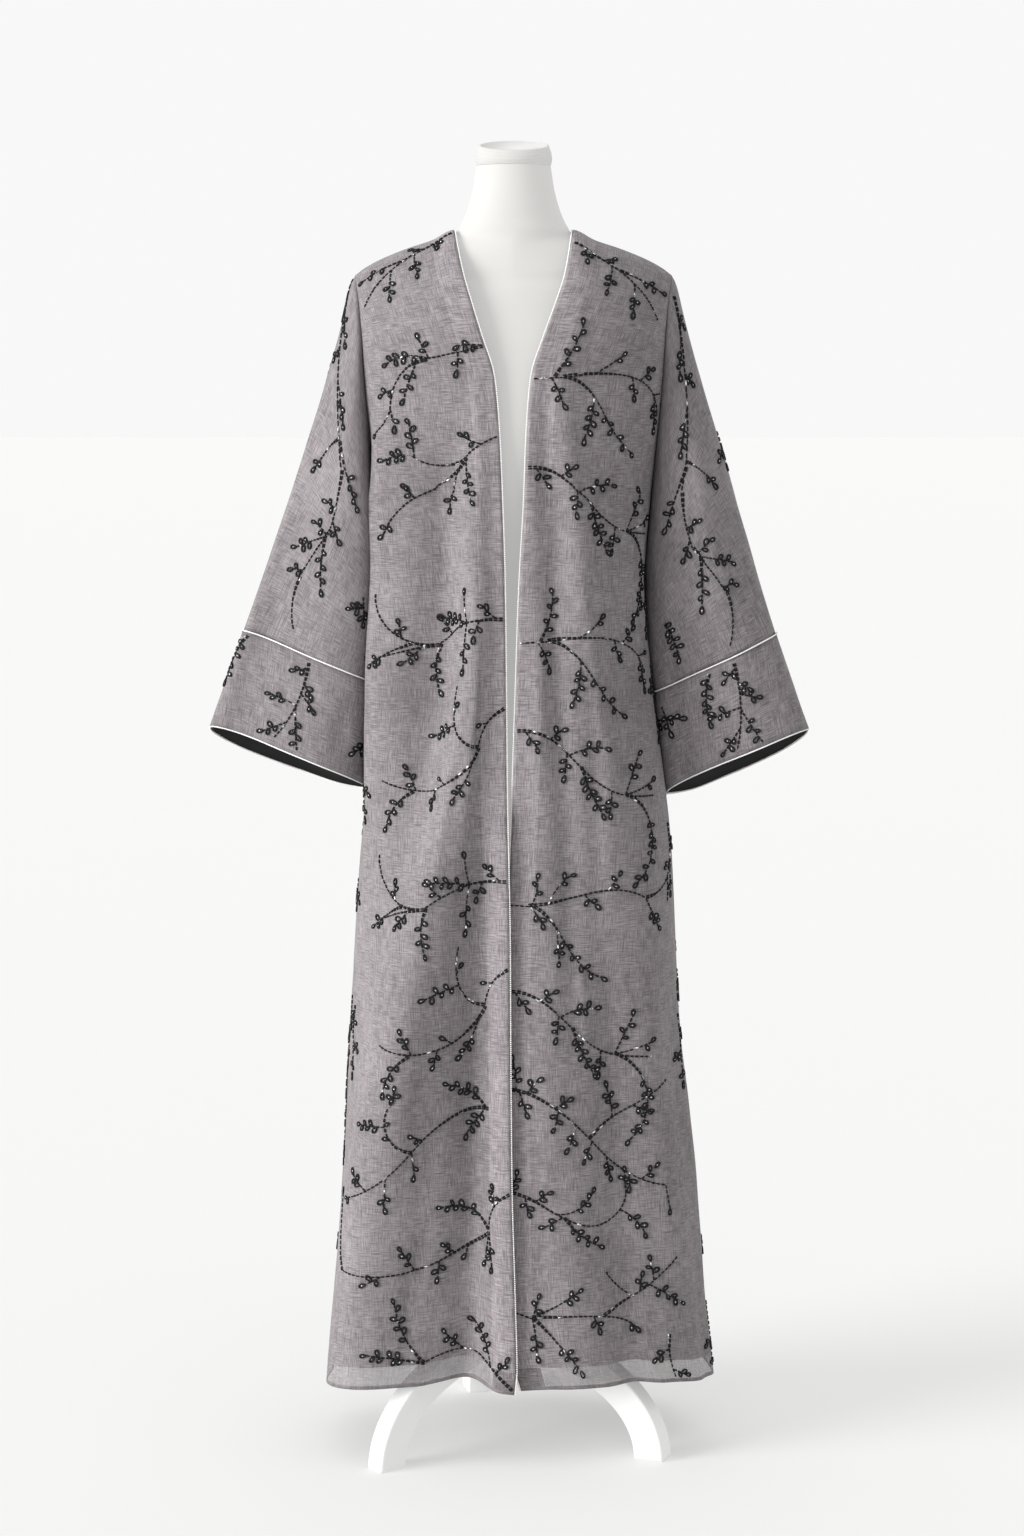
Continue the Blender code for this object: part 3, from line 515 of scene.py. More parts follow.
# Soft creases that a hand finds in the hung cloth, besides the large folds. share runs across a panel
# from its first edge to its last, rise up it from the hem in metres. Spread and depth are millimetres,
# and a ridge has a depth over 0.
Crease = namedtuple("Crease", "top_share top_rise low_share low_rise spread depth")
CREASES = {
    "front_right": rows_of(
        Crease,
        (0.1, 0.98, 0.22, 0.66, 3.5, 2.2), (0.2, 0.86, 0.42, 0.5, 4, 2.2), (0.11, 1.24, 0.22, 0.6, 14, 9),
        (0.29, 1.17, 0.5, 0.6, 30, -26.2), (0.76, 1.2, 0.8, 0.66, 33, 24),
        (0.36, 0.72, 0.52, 0.16, 30, 3), (0.62, 0.62, 0.56, 0.3, 13, -1.8),
        (0.4, 0.56, 0.47, 0.24, 15, 2), (0.78, 0.4, 0.84, 0.1, 12, 1.8),
        (0.88, 0.36, 0.95, 0.04, 9, -1.4), (0.34, 0.22, 0.42, 0.06, 10, -3),
        (0.9, 1.16, 0.74, 1.04, 10, -1.6), (0.6, 1.27, 0.84, 1.18, 11, 1.2),
    ),
    "front_left": rows_of(
        Crease,
        (0.3, 0.6, 0.37, 0.34, 3.5, 2.2), (0.54, 1.17, 0.86, 0.94, 6, 3.2),
        (0.18, 1.24, 0.48, 0.7, 16, 8.5), (0.46, 0.86, 0.44, 0.44, 18, 6),
        (0.07, 1.24, 0.25, 0.68, 15, -8), (0.24, 0.84, 0.3, 0.38, 16, -5.5),
        (0.5, 0.5, 0.54, 0.01, 36, -5), (0.84, 0.4, 0.84, 0, 30, 5), (0.12, 1.06, 0.1, 0.7, 12, 2),
        (0.22, 1.02, 0.24, 0.62, 11, -2.2), (0.4, 1.1, 0.44, 0.72, 14, 2.2),
        (0.58, 1.06, 0.58, 0.7, 12, -1.8), (0.8, 1.02, 0.86, 0.88, 10, 1.6),
        (0.72, 0.86, 0.78, 0.44, 13, 1.6), (0.9, 0.7, 0.93, 0.34, 10, -1.6),
        (0.46, 0.56, 0.5, 0.2, 14, -1.8), (0.14, 0.52, 0.18, 0.12, 13, 1.8),
        (0.64, 0.4, 0.7, 0.06, 13, 2), (0.86, 0.26, 0.9, 0.02, 10, 1.5),
        (0.88, 1.14, 0.72, 1.02, 11, -1.8), (0.93, 1.06, 0.8, 0.92, 8, -1.4),
        (0.56, 1.27, 0.8, 1.19, 11, 1.2),
    ),
    "back": rows_of(
        Crease,
        (0.3, 1.14, 0.26, 0.8, 15, -2.2), (0.42, 1.06, 0.4, 0.6, 14, 2), (0.55, 1.12, 0.57, 0.66, 15, -2),
        (0.68, 1.1, 0.72, 0.72, 14, 2.2), (0.16, 0.92, 0.12, 0.5, 13, 1.8),
        (0.84, 0.9, 0.89, 0.46, 13, -1.8), (0.34, 0.5, 0.32, 0.12, 14, -1.8),
        (0.48, 0.48, 0.49, 0.08, 12, 1.8), (0.62, 0.52, 0.64, 0.16, 14, -2),
        (0.78, 0.36, 0.8, 0.05, 12, 1.8), (0.22, 0.34, 0.2, 0.04, 12, 1.6),
        (0.18, 1.18, 0.36, 1.24, 12, -1.4), (0.82, 1.17, 0.66, 1.24, 12, -1.4),
    ),
}
RUMPLES = ((0.0007, 38, 17, 0.0), (0.0020, 13, 4.5, 0.5))  # height, how close across and up, and a shift
STILL_EDGE, STILL_TOP = 0.016, 0.060  # creases die out this near to a sewn edge, and to the shoulder
WEFT_SLUB, WARP_SLUB = (0.013, 0.0012), (0.0011, 0.015)  # size of a thick place in a thread
WEFT_STRAND, WARP_STRAND = (0.028, 0.0012), (0.0011, 0.036)  # size of a thread dyed darker
THREAD = 0.0007  # from one thread to the next
HATCH, CLOUDS, MOTTLES = (42, 55, 1), (11, 8, 1), (75, 60, 1)  # patches in a metre, across and up
STRANDS_FROM, STRANDS_FULL = 0.62, 0.74  # a thread is dyed darker where its noise is this high
THREAD_TONE, CLOUDY_TONE, MOTTLED_TONE, STRAND_TONE = 1.45, 0.60, 0.55, 0.50
THREAD_RISE, WEAVE_RISE = 1.4, 0.5
TAUPE_DARK, TAUPE_LIGHT = (0.112, 0.098, 0.104), (0.272, 0.247, 0.256)
SHEER_COVER = 0.50  # share of the light that the single cloth stops

Panel = namedtuple("Panel", "points outs across rise closed")
panels = {}
pieces = {}


def ease(t):
    t = np.clip(t, 0.0, 1.0)
    return t * t * (3 - 2 * t)


def unit(vectors):
    return vectors / np.linalg.norm(vectors, axis=-1, keepdims=True)


def lengths_along(points):
    return np.concatenate([[0.0], np.cumsum(np.linalg.norm(np.diff(points, axis=0), axis=1))])


def pick(points, places):
    """The points at these distances along a dense line."""
    along = lengths_along(points)
    return np.stack([np.interp(places, along, points[:, k]) for k in range(3)], axis=1)


def fold_offset(side, places, height):
    """How far the large folds move the cloth outwards."""
    moved = np.zeros_like(places)
    for fold in FOLDS[side]:
        grown = ease((fold.start - height) / (fold.start - fold.full))
        down = ease((fold.start - height) / (fold.start - HEM))
        middle = between(fold.top_place, fold.hem_place, down)
        moved += fold.rise * grown * bell(places - middle, fold.spread)
    lapped = LAP[side] * ease((LAP_TOP - height) / (LAP_TOP - LAP_FULL))
    return moved * (1 - bell(places, EDGE_HOLD)) + lapped * bell(places, LAP_SPREAD)


def body_line(side, face, level, roll):
    """A dense line across one side of the front or back, from the front edge or the centre back.

    level is its height up to the chest, and roll its angle over the shoulder above that.
    """
    up = math.sin(roll)
    stations = STATIONS[side]
    arm_height = between(level, RIDGE[-1].height, up)
    arm = through(stations, "side", arm_height)
    reach = arm + through(ARMHOLE_INSET, "depth", arm_height) * (level > UNDERARM)
    edge = through(stations, "edge", between(level, RIDGE[0].height, up)) if face == FRONT else 0.0
    start, end = [
        math.copysign(math.asin(min(abs(x) / reach, 1.0) ** (SECTION_POWER / 2)), x) for x in (edge, arm)
    ]
    angles = np.linspace(start, end, DENSE)
    out = reach * swelled(np.sin(angles), SECTION_POWER)
    depth = through(DEPTHS, "front" if face == FRONT else "back", level)
    deep = depth * swelled(np.cos(angles), SECTION_POWER)
    rolls = np.full(DENSE, roll)
    if face == BACK:
        neck = NECK_BACK * np.clip(1 - (out / NECK_X) ** NECK_POWER, 0, 1) ** (1 / NECK_POWER)
        rolls = roll * np.arccos(np.clip(neck / np.maximum(deep, NEAR), 0, 1)) / (math.pi / 2)
    height = between(level, through(RIDGE, "height", np.abs(out)), np.sin(rolls))
    points = np.stack([out, face * deep * np.cos(rolls), height], axis=1)
    along = lengths_along(points)
    places = along / along[-1]
    if roll == 0:
        points = folded(side, face, points, places if face == FRONT else 2 - places, level)
    return points


def folded(side, face, points, places, height):
    """The line with the large folds in it, and the hem lifted where the cloth falls back."""
    heading = unit(np.gradient(points[:, :2], axis=0))
    outwards = np.stack([-heading[:, 1] * face, heading[:, 0] * face], axis=1)
    moved = fold_offset(side, places, height)
    points[:, :2] += outwards * moved[:, None]
    lifted = HEM_RISE * np.maximum(-moved, 0) + through(HEM_LINE, "height", places) - HEM
    points[:, 2] += lifted * ease((HEM_BLEND - height) / (HEM_BLEND - HEM))
    return points


def body_rows():
    """(height, roll) of each row, from the hem to the shoulder, and how many lie under the underarm."""
    skirt = np.linspace(HEM + LINING_LIFT, UNDERARM, round((UNDERARM - HEM - LINING_LIFT) / SKIRT_ROW))
    heights = [HEM + rise for rise in HEM_ROWS] + list(skirt[:-1])
    lower = len(heights)
    for low, high in zip(UPPER_ROWS, UPPER_ROWS[1:]):
        heights += list(np.linspace(low, high, ROW_SPLIT + 1)[:-1])
    rolls = np.linspace(0, math.pi / 2, ROLL_ROWS * ROW_SPLIT + 1)
    return [(height, 0.0) for height in heights] + [(CHEST, roll) for roll in rolls], lower


def column_places(face, line):
    total = lengths_along(line)[-1] - SEAM_GAP / 2
    first, count, more = FACING_W, FACING_COLUMNS, FRONT_COLUMNS
    if face == BACK:
        first = np.interp(NECK_X * line[-1, 0] / RIDGE[-1].out, line[:, 0], lengths_along(line))
        count, more = NECK_COLUMNS, BACK_COLUMNS
    return np.concatenate([np.linspace(0, first, count + 1), np.linspace(first, total, more + 1)[1:]])


def place(side, points):
    """From a side's own coordinates to the whole piece's."""
    return np.stack([side * points[..., 0], points[..., 1] + SHOULDER_Y, points[..., 2]], axis=-1)


def body_grid(side, face):
    rows = []
    for level, roll in ROWS:
        line = body_line(side, face, level, roll)
        rows.append(pick(line, column_places(face, line)))
    grid = np.array(rows)
    seam = np.abs(grid[-1, :, 1]) < SEAM_GAP
    grid[-1, seam, 1] = face * SEAM_GAP / 2
    return grid


def joined_up(points, closed):
    """A grid of points, with its first column again at the end of a closed one."""
    return np.concatenate([points, points[:, :1]], axis=1) if closed else points


def measured(points, outwards, closed=False):
    """A panel on a grid of points: its outward directions, and its own metres across and up."""
    ends = joined_up(points, closed)
    if closed:
        across = np.gradient(np.concatenate([points[:, -1:], ends], axis=1), axis=1)[:, 1:-1]
    else:
        across = np.gradient(points, axis=1)
    outs = unit(np.cross(across, np.gradient(points, axis=0)) * outwards)
    steps = np.linalg.norm(np.diff(ends, axis=1), axis=2)
    along = np.concatenate([np.zeros((len(points), 1)), np.cumsum(steps, axis=1)], axis=1)
    up = np.linalg.norm(np.diff(points, axis=0), axis=2).mean(axis=1)
    return Panel(points, outs, along, np.concatenate([[0.0], np.cumsum(up)]), closed)


def creased(panel, name, outwards):
    """The panel with its creases and a slight rumple in it, and with its sewn edges left still."""
    rise = panel.rise[:, None]
    across = panel.across[:, : panel.points.shape[1]]
    total = panel.across[:, -1:]
    moved = np.zeros_like(across)
    for crease in CREASES[name]:
        t = (crease.top_rise - rise) / (crease.top_rise - crease.low_rise)
        middle = between(crease.top_share, crease.low_share, t)
        faded = np.sqrt(ease(1 - np.abs(2 * t - 1)))
        moved += crease.depth / 1000 * faded * bell(across - middle * total, crease.spread / 1000)
    seed = sum(ord(letter) for letter in name)
    for r, c in np.ndindex(moved.shape):
        for height, close_across, close_up, shift in RUMPLES:
            spot_in_noise = Vector((close_across * across[r, c], close_up * panel.rise[r], seed + shift))
            moved[r, c] += height * noise.noise(spot_in_noise)
    if not panel.closed:
        moved *= (1 - bell(across, STILL_EDGE)) * (1 - bell(total - across, STILL_EDGE))
    moved *= 1 - bell(panel.rise[-1] - rise, STILL_TOP)
    return measured(panel.points + panel.outs * moved[:, :, None], outwards, panel.closed)


def shell(name, stands_for, panel, outwards, materials, thickness=CLOTH_T, part_of=None):
    """Make a thin cloth on a panel's points, with the cut's own metres as its UV map.

    part_of gives the number of the material of the face at a row and column.
    """
    rows, columns = panel.points.shape[:2]
    mesh = bmesh.new()
    cut = mesh.loops.layers.uv.new("cut")
    knots = [[mesh.verts.new(p) for p in row] for row in panel.points]
    for r in range(rows - 1):
        for c in range(columns if panel.closed else columns - 1):
            d = (c + 1) % columns
            face = mesh.faces.new((knots[r][c], knots[r][d], knots[r + 1][d], knots[r + 1][c]))
            for loop, (i, j) in zip(face.loops, ((r, c), (r, c + 1), (r + 1, c + 1), (r + 1, c))):
                loop[cut].uv = (panel.across[i, j], panel.rise[i])
            face.smooth = True
            if part_of:
                face.material_index = part_of(r, c)
    if outwards < 0:
        bmesh.ops.reverse_faces(mesh, faces=mesh.faces)
    data = bpy.data.meshes.new(name)
    mesh.to_mesh(data)
    mesh.free()
    obj = show(added(name, data), materials[0], stands_for)
    for material in materials[1:]:
        data.materials.append(material)
    wall = obj.modifiers.new("cloth thickness", "SOLIDIFY")
    wall.thickness = thickness
    wall.offset = -1.0
    pieces[stands_for] = obj


def graded(tree, value, low, high, start=0.0, end=1.0, kind="LINEAR"):
    """The value as it goes from low to high, moved to go from start to end."""
    sockets = {"Value": value, "From_Min": low, "From_Max": high, "To_Min": start, "To_Max": end}
    return node(tree, "ShaderNodeMapRange", {"interpolation_type": kind}, **sockets).outputs["Result"]


def streaks(tree, where, size, detail):
    return grain(tree, where, (1 / size[0], 1 / size[1], 1), detail, "2D")


def swing(tree, value, share):
    """How far a noise is off its middle, times share."""
    return sums(tree, "MULTIPLY", sums(tree, "SUBTRACT", value, 0.5), share)


def cut_metres(tree):
    return node(tree, "ShaderNodeUVMap", {"uv_map": "cut"}).outputs["UV"]


def linen_look(name, brightness=1.0, cover=1.0):
    """Plain weave with thick places in both threads, which makes the cloth look hatched."""
    material, tree, _ = finish_named(name, 0.82, Sheen_Weight=0.10, Alpha=cover)
    cut = cut_metres(tree)
    shifted = node(tree, "ShaderNodeMapping", Vector=cut, Location=(3.7, 1.9, 0)).outputs["Vector"]
    hatch = graded(tree, grain(tree, shifted, HATCH, 2.0, "2D"), 0.35, 0.65)
    even = sums(tree, "SUBTRACT", 1.0, hatch)
    weft = swing(tree, streaks(tree, cut, WEFT_SLUB, 3.0), sums(tree, "ADD", hatch, 0.5))
    warp = swing(tree, streaks(tree, cut, WARP_SLUB, 3.0), sums(tree, "ADD", even, 0.4))
    threads = sums(tree, "ADD", weft, warp)
    tone = sums(tree, "ADD", sums(tree, "MULTIPLY", threads, THREAD_TONE), 0.5)
    cloudy = swing(tree, grain(tree, cut, CLOUDS, 3.0, "2D"), CLOUDY_TONE)
    mottled = swing(tree, grain(tree, shifted, MOTTLES, 3.0, "2D"), MOTTLED_TONE)
    for patches in (cloudy, mottled):
        tone = sums(tree, "ADD", tone, patches)
    for size in (WEFT_STRAND, WARP_STRAND):
        strands = streaks(tree, shifted, size, 1.0)
        dyed = graded(tree, strands, STRANDS_FROM, STRANDS_FULL, 0.0, STRAND_TONE)
        tone = sums(tree, "SUBTRACT", tone, dyed)
    dye(tree, tone, *[[min(1.0, brightness * c) for c in shade] for shade in (TAUPE_DARK, TAUPE_LIGHT)])
    weave = sums(tree, "MULTIPLY", streaks(tree, cut, (THREAD, THREAD), 1.0), WEAVE_RISE)
    relief(tree, sums(tree, "ADD", sums(tree, "MULTIPLY", threads, THREAD_RISE), weave), 0.35, 0.0006)
    return material


def below(rise, height):
    return height < HEM + rise - NEAR


def body_part(face):
    """Which finish a face of a front or the back takes: over lining, over the facing, sheer, or hem."""

    def part_of(r, c):
        if below(LINING_LIFT, ROWS[r][0]):
            return 3 if below(ROLLED_HEM, ROWS[r][0]) else 2
        return 1 if face == FRONT and c < FACING_COLUMNS else 0

    return part_of


ROWS, BELOW_ARM = body_rows()
body_finishes = [
    linen_look("taupe_cloth_over_lining"),
    linen_look("taupe_cloth_over_facing", 1.26),
    linen_look("taupe_cloth_sheer", 1.25, SHEER_COVER),
    linen_look("taupe_cloth_rolled_hem", 0.95),
]
bare = {(name, face): body_grid(side, face) for name, side in SIDES.items() for face in (FRONT, BACK)}
bare_back = [place(RIGHT, bare["right", BACK])[:, ::-1], place(LEFT, bare["left", BACK])[:, 1:]]
for name, side, face, points in (
    ("front_right", RIGHT, FRONT, place(RIGHT, bare["right", FRONT])),
    ("front_left", LEFT, FRONT, place(LEFT, bare["left", FRONT])),
    ("back", -1, BACK, np.concatenate(bare_back, axis=1)),
):
    panels[name] = creased(measured(points, side), name, side)
    shell(f"cloth_{name}", name, panels[name], side, body_finishes, part_of=body_part(face))


# Sleeves and cuffs. Each sleeve is one wide piece set in at a dropped armhole, and a deep cuff of the
# same cloth is sewn to its end. Both hang open, and a small fold runs down inside the elbow.
Ring = namedtuple("Ring", "outer_x outer_z inner_x inner_z half_depth front_rise back_drop")
CUFF_RINGS = {
    RIGHT: rows_of(
        Ring,
        (0.3235, 0.988, 0.169, 0.925, 0.034, 0.006, 0.006),
        (0.364, 0.873, 0.181, 0.803, 0.036, 0.011, 0.015),
    ),
    LEFT: rows_of(
        Ring,
        (0.3135, 0.986, 0.172, 0.916, 0.034, 0.001, 0.006),
        (0.353, 0.871, 0.187, 0.797, 0.036, 0.009, 0.018),
    ),
}
SLEEVE_Y = -0.004
SLEEVE_BULGE, BULGE_POWER = 0.013, 0.8
SLEEVE_SAG = {RIGHT: 0.006, LEFT: 0.001}
SLEEVE_PUFF, PUFF_AT = {RIGHT: 0.0040, LEFT: 0.0030}, 0.07  # how far it swells just under the armhole
PUFF_OUT, PUFF_OUT_AT = 0.0026, 0.035
SLEEVE_LEAN, LEAN_FULL = {RIGHT: 0.029, LEFT: -0.014}, 0.5  # how far its front turns to the outer side
BACK_TUCK = {RIGHT: 0.0055, LEFT: 0.0110}  # how far the sleeve's back reaches in behind the body
TUCK_PLACE, TUCK_SPREAD = 0.945, 0.04
SIDE_CLEAR, CORD_CLEAR = 0.0006, 0.0018  # between the sleeve's inner edge and the side seam
SIDE_FULL = 0.12  # from this share of its length down, the sleeve's inner edge follows the side seam
INNER_POWER = 1.3
CORD_REACH = 0.07
RING_POWER = 2.5
FOLDS_FULL = 0.6

# Soft folds down the sleeve. Places run round it: 0 at the underarm, 0.25 front, 0.5 outer edge.
SLEEVE_FOLDS = rows_of(
    namedtuple("SleeveFold", "top_place hem_place spread rise"),
    (0.18, 0.1, 0.045, -0.0025), (0.3, 0.29, 0.05, 0.003), (0.4, 0.4, 0.04, -0.003),
    (0.66, 0.62, 0.045, -0.004), (0.76, 0.8, 0.05, 0.004), (0.86, 0.9, 0.04, -0.004),
)
SLEEVE_ROWS, CUFF_ROWS = 56, 14
CREASES["sleeve_right"] = rows_of(
    Crease,
    (0.14, 0.4, 0.1, 0.2, 9, -2), (0.3, 0.46, 0.22, 0.3, 12, 1.4), (0.36, 0.3, 0.33, 0.06, 12, -1.4),
    (0.18, 0.24, 0.14, 0.02, 11, 1.6), (0.7, 0.4, 0.66, 0.14, 12, 1.6), (0.88, 0.3, 0.84, 0.08, 12, -1.6),
)
CREASES["sleeve_left"] = rows_of(
    Crease,
    (0.12, 0.42, 0.17, 0.24, 10, -2.2), (0.24, 0.36, 0.27, 0.1, 12, 1.6),
    (0.4, 0.44, 0.37, 0.22, 11, -1.4), (0.15, 0.2, 0.2, 0.03, 11, -1.4), (0.66, 0.38, 0.7, 0.12, 12, 1.6),
    (0.84, 0.32, 0.8, 0.06, 12, -1.8),
)
CREASES["cuff_right"] = rows_of(
    Crease,
    (0.1, 0.11, 0.16, 0.02, 8, -2.2), (0.15, 0.09, 0.06, 0.01, 7, 1.8), (0.34, 0.1, 0.36, 0.02, 10, 1.2),
    (0.72, 0.1, 0.7, 0.01, 10, -1.4),
)
CREASES["cuff_left"] = rows_of(
    Crease,
    (0.08, 0.11, 0.14, 0.02, 9, -2), (0.2, 0.1, 0.17, 0.02, 8, 1.4), (0.4, 0.1, 0.38, 0.01, 10, -1),
    (0.76, 0.1, 0.72, 0.01, 10, 1.4),
)


def armhole_loop(front, back):
    """Round an armhole from the underarm, up the front and down the back, with no point twice."""
    return np.concatenate([front[BELOW_ARM:, -1], back[-2:BELOW_ARM:-1, -1]])


def cuff_ring(ring, count):
    """Points round a cuff's seam or hem, from the inner edge round the front."""
    turn = np.linspace(0, 2 * math.pi, 8 * DENSE)
    deep = -swelled(np.sin(turn), RING_POWER)
    outer, inner = np.array([ring.outer_x, 0, ring.outer_z]), np.array([ring.inner_x, 0, ring.inner_z])
    line = (outer + inner) / 2 - swelled(np.cos(turn), RING_POWER)[:, None] * (outer - inner) / 2
    line[:, 1] += SLEEVE_Y + deep * ring.half_depth
    line[:, 2] -= np.where(deep < 0, deep * ring.front_rise, deep * ring.back_drop)
    return pick(line, np.linspace(0, lengths_along(line)[-1], count + 1)[:-1])


def swells_at(row, at):
    """0 at the armhole, 1 at one share of the sleeve's length, and fading below it."""
    return row / at * math.exp(1 - row / at)


def sleeve_grid(side, armhole, rows):
    """Points of a sleeve and its cuff. Rows are 0 at the armhole, 1 at the cuff's seam, 2 at its hem."""
    count = len(armhole)
    seam, hem = [cuff_ring(ring, count) for ring in CUFF_RINGS[side]]
    places = np.arange(count) / count
    facing, inwards = -np.sin(2 * math.pi * places), np.cos(2 * math.pi * places)
    outer, inner = np.clip(-inwards, 0, 1), np.clip(inwards, 0, 1) ** INNER_POWER
    tucked = BACK_TUCK[side] * bell(places - TUCK_PLACE, TUCK_SPREAD)
    grid = []
    for row in rows:
        if row <= 1:
            line = between(armhole, seam, row)
            line[:, 1] += facing * SLEEVE_BULGE * math.sin(math.pi * row) ** BULGE_POWER
            line[:, 0] -= outer * SLEEVE_SAG[side] * math.sin(math.pi * row)
        else:
            line = between(seam, hem, row - 1)
        line[:, 1] += facing * SLEEVE_PUFF[side] * swells_at(row, PUFF_AT)
        line[:, 0] += outer * PUFF_OUT * swells_at(row, PUFF_OUT_AT)
        line[:, 1] -= SLEEVE_LEAN[side] * ease(row / LEAN_FULL) * np.clip(-facing, 0, 1) * inwards
        by_cord = bell(row - 1, CORD_REACH) + bell(row - 2, CORD_REACH)
        side_x = through(STATIONS[side], "side", line[0, 2])
        apart = line[0, 0] - side_x - SIDE_CLEAR - CORD_CLEAR * by_cord
        line[:, 0] -= (apart * inner + tucked) * ease(row / SIDE_FULL)
        for fold in SLEEVE_FOLDS:
            middle = between(fold.top_place, fold.hem_place, row / 2)
            line[:, 1] += facing * fold.rise * ease(row / FOLDS_FULL) * bell(places - middle, fold.spread)
        grid.append(line)
    return np.array(grid)


sleeve_finish = [linen_look("taupe_cloth_of_sleeves")]
for name, side in SIDES.items():
    armhole = armhole_loop(bare[name, FRONT], bare[name, BACK]) + np.array([SEAM_GAP, 0, 0])
    lengths = np.concatenate([np.linspace(0, 1, SLEEVE_ROWS + 1), np.linspace(1, 2, CUFF_ROWS + 1)[1:]])
    whole = place(side, sleeve_grid(side, armhole, lengths))[::-1]
    for part, slot, points in (
        (f"sleeve_{name}", "outer_cloth", whole[CUFF_ROWS:]),
        (f"cuff_{name}", "cuff_cloth", whole[: CUFF_ROWS + 1]),
    ):
        panels[part] = creased(measured(points, side, closed=True), part, side)
        shell(f"cloth_{part}", part, panels[part], side, sleeve_finish)


# Facings. A strip of the same cloth backs each front edge, with no black lining behind it, so that the
# edge looks lighter than the rest. It is sewn to the front along the piped edge and to the lining.
FACING_DEPTH = 0.0011  # from the face of the front to the facing


def beneath(name, depth, rows=slice(None), columns=slice(None)):
    """Part of a panel's points, moved in under it."""
    return (panels[name].points - panels[name].outs * depth)[rows, columns]


facing_finish = [linen_look("taupe_cloth_of_facings", 1.1)]
for name, side in SIDES.items():
    strip = measured(beneath(f"front_{name}", FACING_DEPTH, columns=slice(0, FACING_COLUMNS + 1)), side)
    shell(f"facing_strip_{name}", f"facing_{name}", strip, side, facing_finish)


# Lining. Black, plain and dense, cut like the panels but shorter, so that the cloth's last stretch over
# the floor is sheer. Each sleeve is lined with one tube that ends at the hem of the cuff.
LINING_DEPTH = 0.0019
LINING_T = 0.0004


def black_lining():
    material, tree, _ = finish_named("black_lining", 0.5, Specular_IOR_Level=0.25)
    cut = cut_metres(tree)
    dye(tree, grain(tree, cut, (30, 18, 1), 3.0, "2D"), (0.003, 0.003, 0.0035), (0.009, 0.009, 0.010))
    relief(tree, grain(tree, cut, (2200, 1700, 1), 2.0, "2D"), 0.25, 0.0003)
    return material


def line_panel(name, side, points, closed=False):
    panel = measured(points, side, closed)
    shell(f"lining_of_{name}", f"lining_{name}", panel, side, lining_finish, LINING_T)


lining_finish = [black_lining()]
lined_rows = slice(sum(below(LINING_LIFT, height) for height, _ in ROWS), None, 2)
for name, side in SIDES.items():
    inside_facing = slice(FACING_COLUMNS, None, 2)
    line_panel(f"front_{name}", side, beneath(f"front_{name}", LINING_DEPTH, lined_rows, inside_facing))
    halves = [beneath(f"cuff_{name}", LINING_DEPTH)[:-1], beneath(f"sleeve_{name}", LINING_DEPTH)]
    line_panel(f"sleeve_{name}", side, np.concatenate(halves)[::2], closed=True)
line_panel("back", -1, beneath("back", LINING_DEPTH, lined_rows, slice(None, None, 2)))


# Beaded piping. Round white beads are strung on a cord and sewn along both front edges and round the
# back neck, close together. A plain white satin cord covers each cuff's seam and edges its hem.
PIPING_R = 0.0009
BEAD_R, BEAD_STEP = 0.00102, 0.0023
BEAD_SIDES, BEAD_RINGS = 7, 4
CLOTH_WALL = 0.0016  # the frame's cloth, whose middle the piping follows


def joined_mesh(name, points, faces, kinds=None):
    data = bpy.data.meshes.new(name)
    data.from_pydata(points, [], faces)
    data.shade_smooth()
    if kinds is not None:
        data.polygons.foreach_set("material_index", kinds)
    return added(name, data)


def ball():
    """Points and faces of one bead."""
    points = [(0, 0, 1)]
    for tilt in np.arange(1, BEAD_RINGS) / BEAD_RINGS * math.pi:
        out, up = math.sin(tilt), math.cos(tilt)
        for turn in equal_turns(BEAD_SIDES):
            points.append((out * math.cos(turn), out * math.sin(turn), up))
    points.append((0, 0, -1))
    last = 1 + (BEAD_RINGS - 2) * BEAD_SIDES
    faces = []
    for c in range(BEAD_SIDES):
        d = (c + 1) % BEAD_SIDES
        faces.append((0, 1 + c, 1 + d))
        for low in range(1, last, BEAD_SIDES):
            high = low + BEAD_SIDES
            faces.append((low + c, high + c, high + d, low + d))
        faces.append((last + c, len(points) - 1, last + d))
    return np.array(points), faces


def bead_string(name, line, stands_for):
    knots, faces = ball()
    middles = pick(line, np.arange(BEAD_STEP / 2, lengths_along(line)[-1], BEAD_STEP))
    points = (middles[:, None] + knots * BEAD_R).reshape(-1, 3)
    repeated = [tuple(i + n * len(knots) for i in face) for n in range(len(middles)) for face in faces]
    show(joined_mesh(name, points.tolist(), repeated), beads, stands_for)


def pearl_white():
    material, tree, where = finish_named("pearl_white_beads", 0.28, Coat_Weight=0.4)
    dye(tree, grain(tree, where, (500, 500, 500)), (0.74, 0.72, 0.70), (0.93, 0.92, 0.90))
    return material


def satin_cord():
    material, tree, where = finish_named("white_satin_cord", 0.42)
    ply_and_groove_shade = ribs(tree, where, 330.0, "DIAGONAL")
    relief(tree, ply_and_groove_shade, 0.5, 0.0003)
    # The colour follows the ply's relief and is darker in the twist's grooves: painted shade.
    dye(tree, ply_and_groove_shade, (0.74, 0.73, 0.72), (0.90, 0.89, 0.88))
    return material


def cord_round(name, line, stands_for):
    curve = closed_curve(name, line, dimensions="3D", bevel_depth=PIPING_R, bevel_resolution=2)
    show(curve, cord, stands_for)


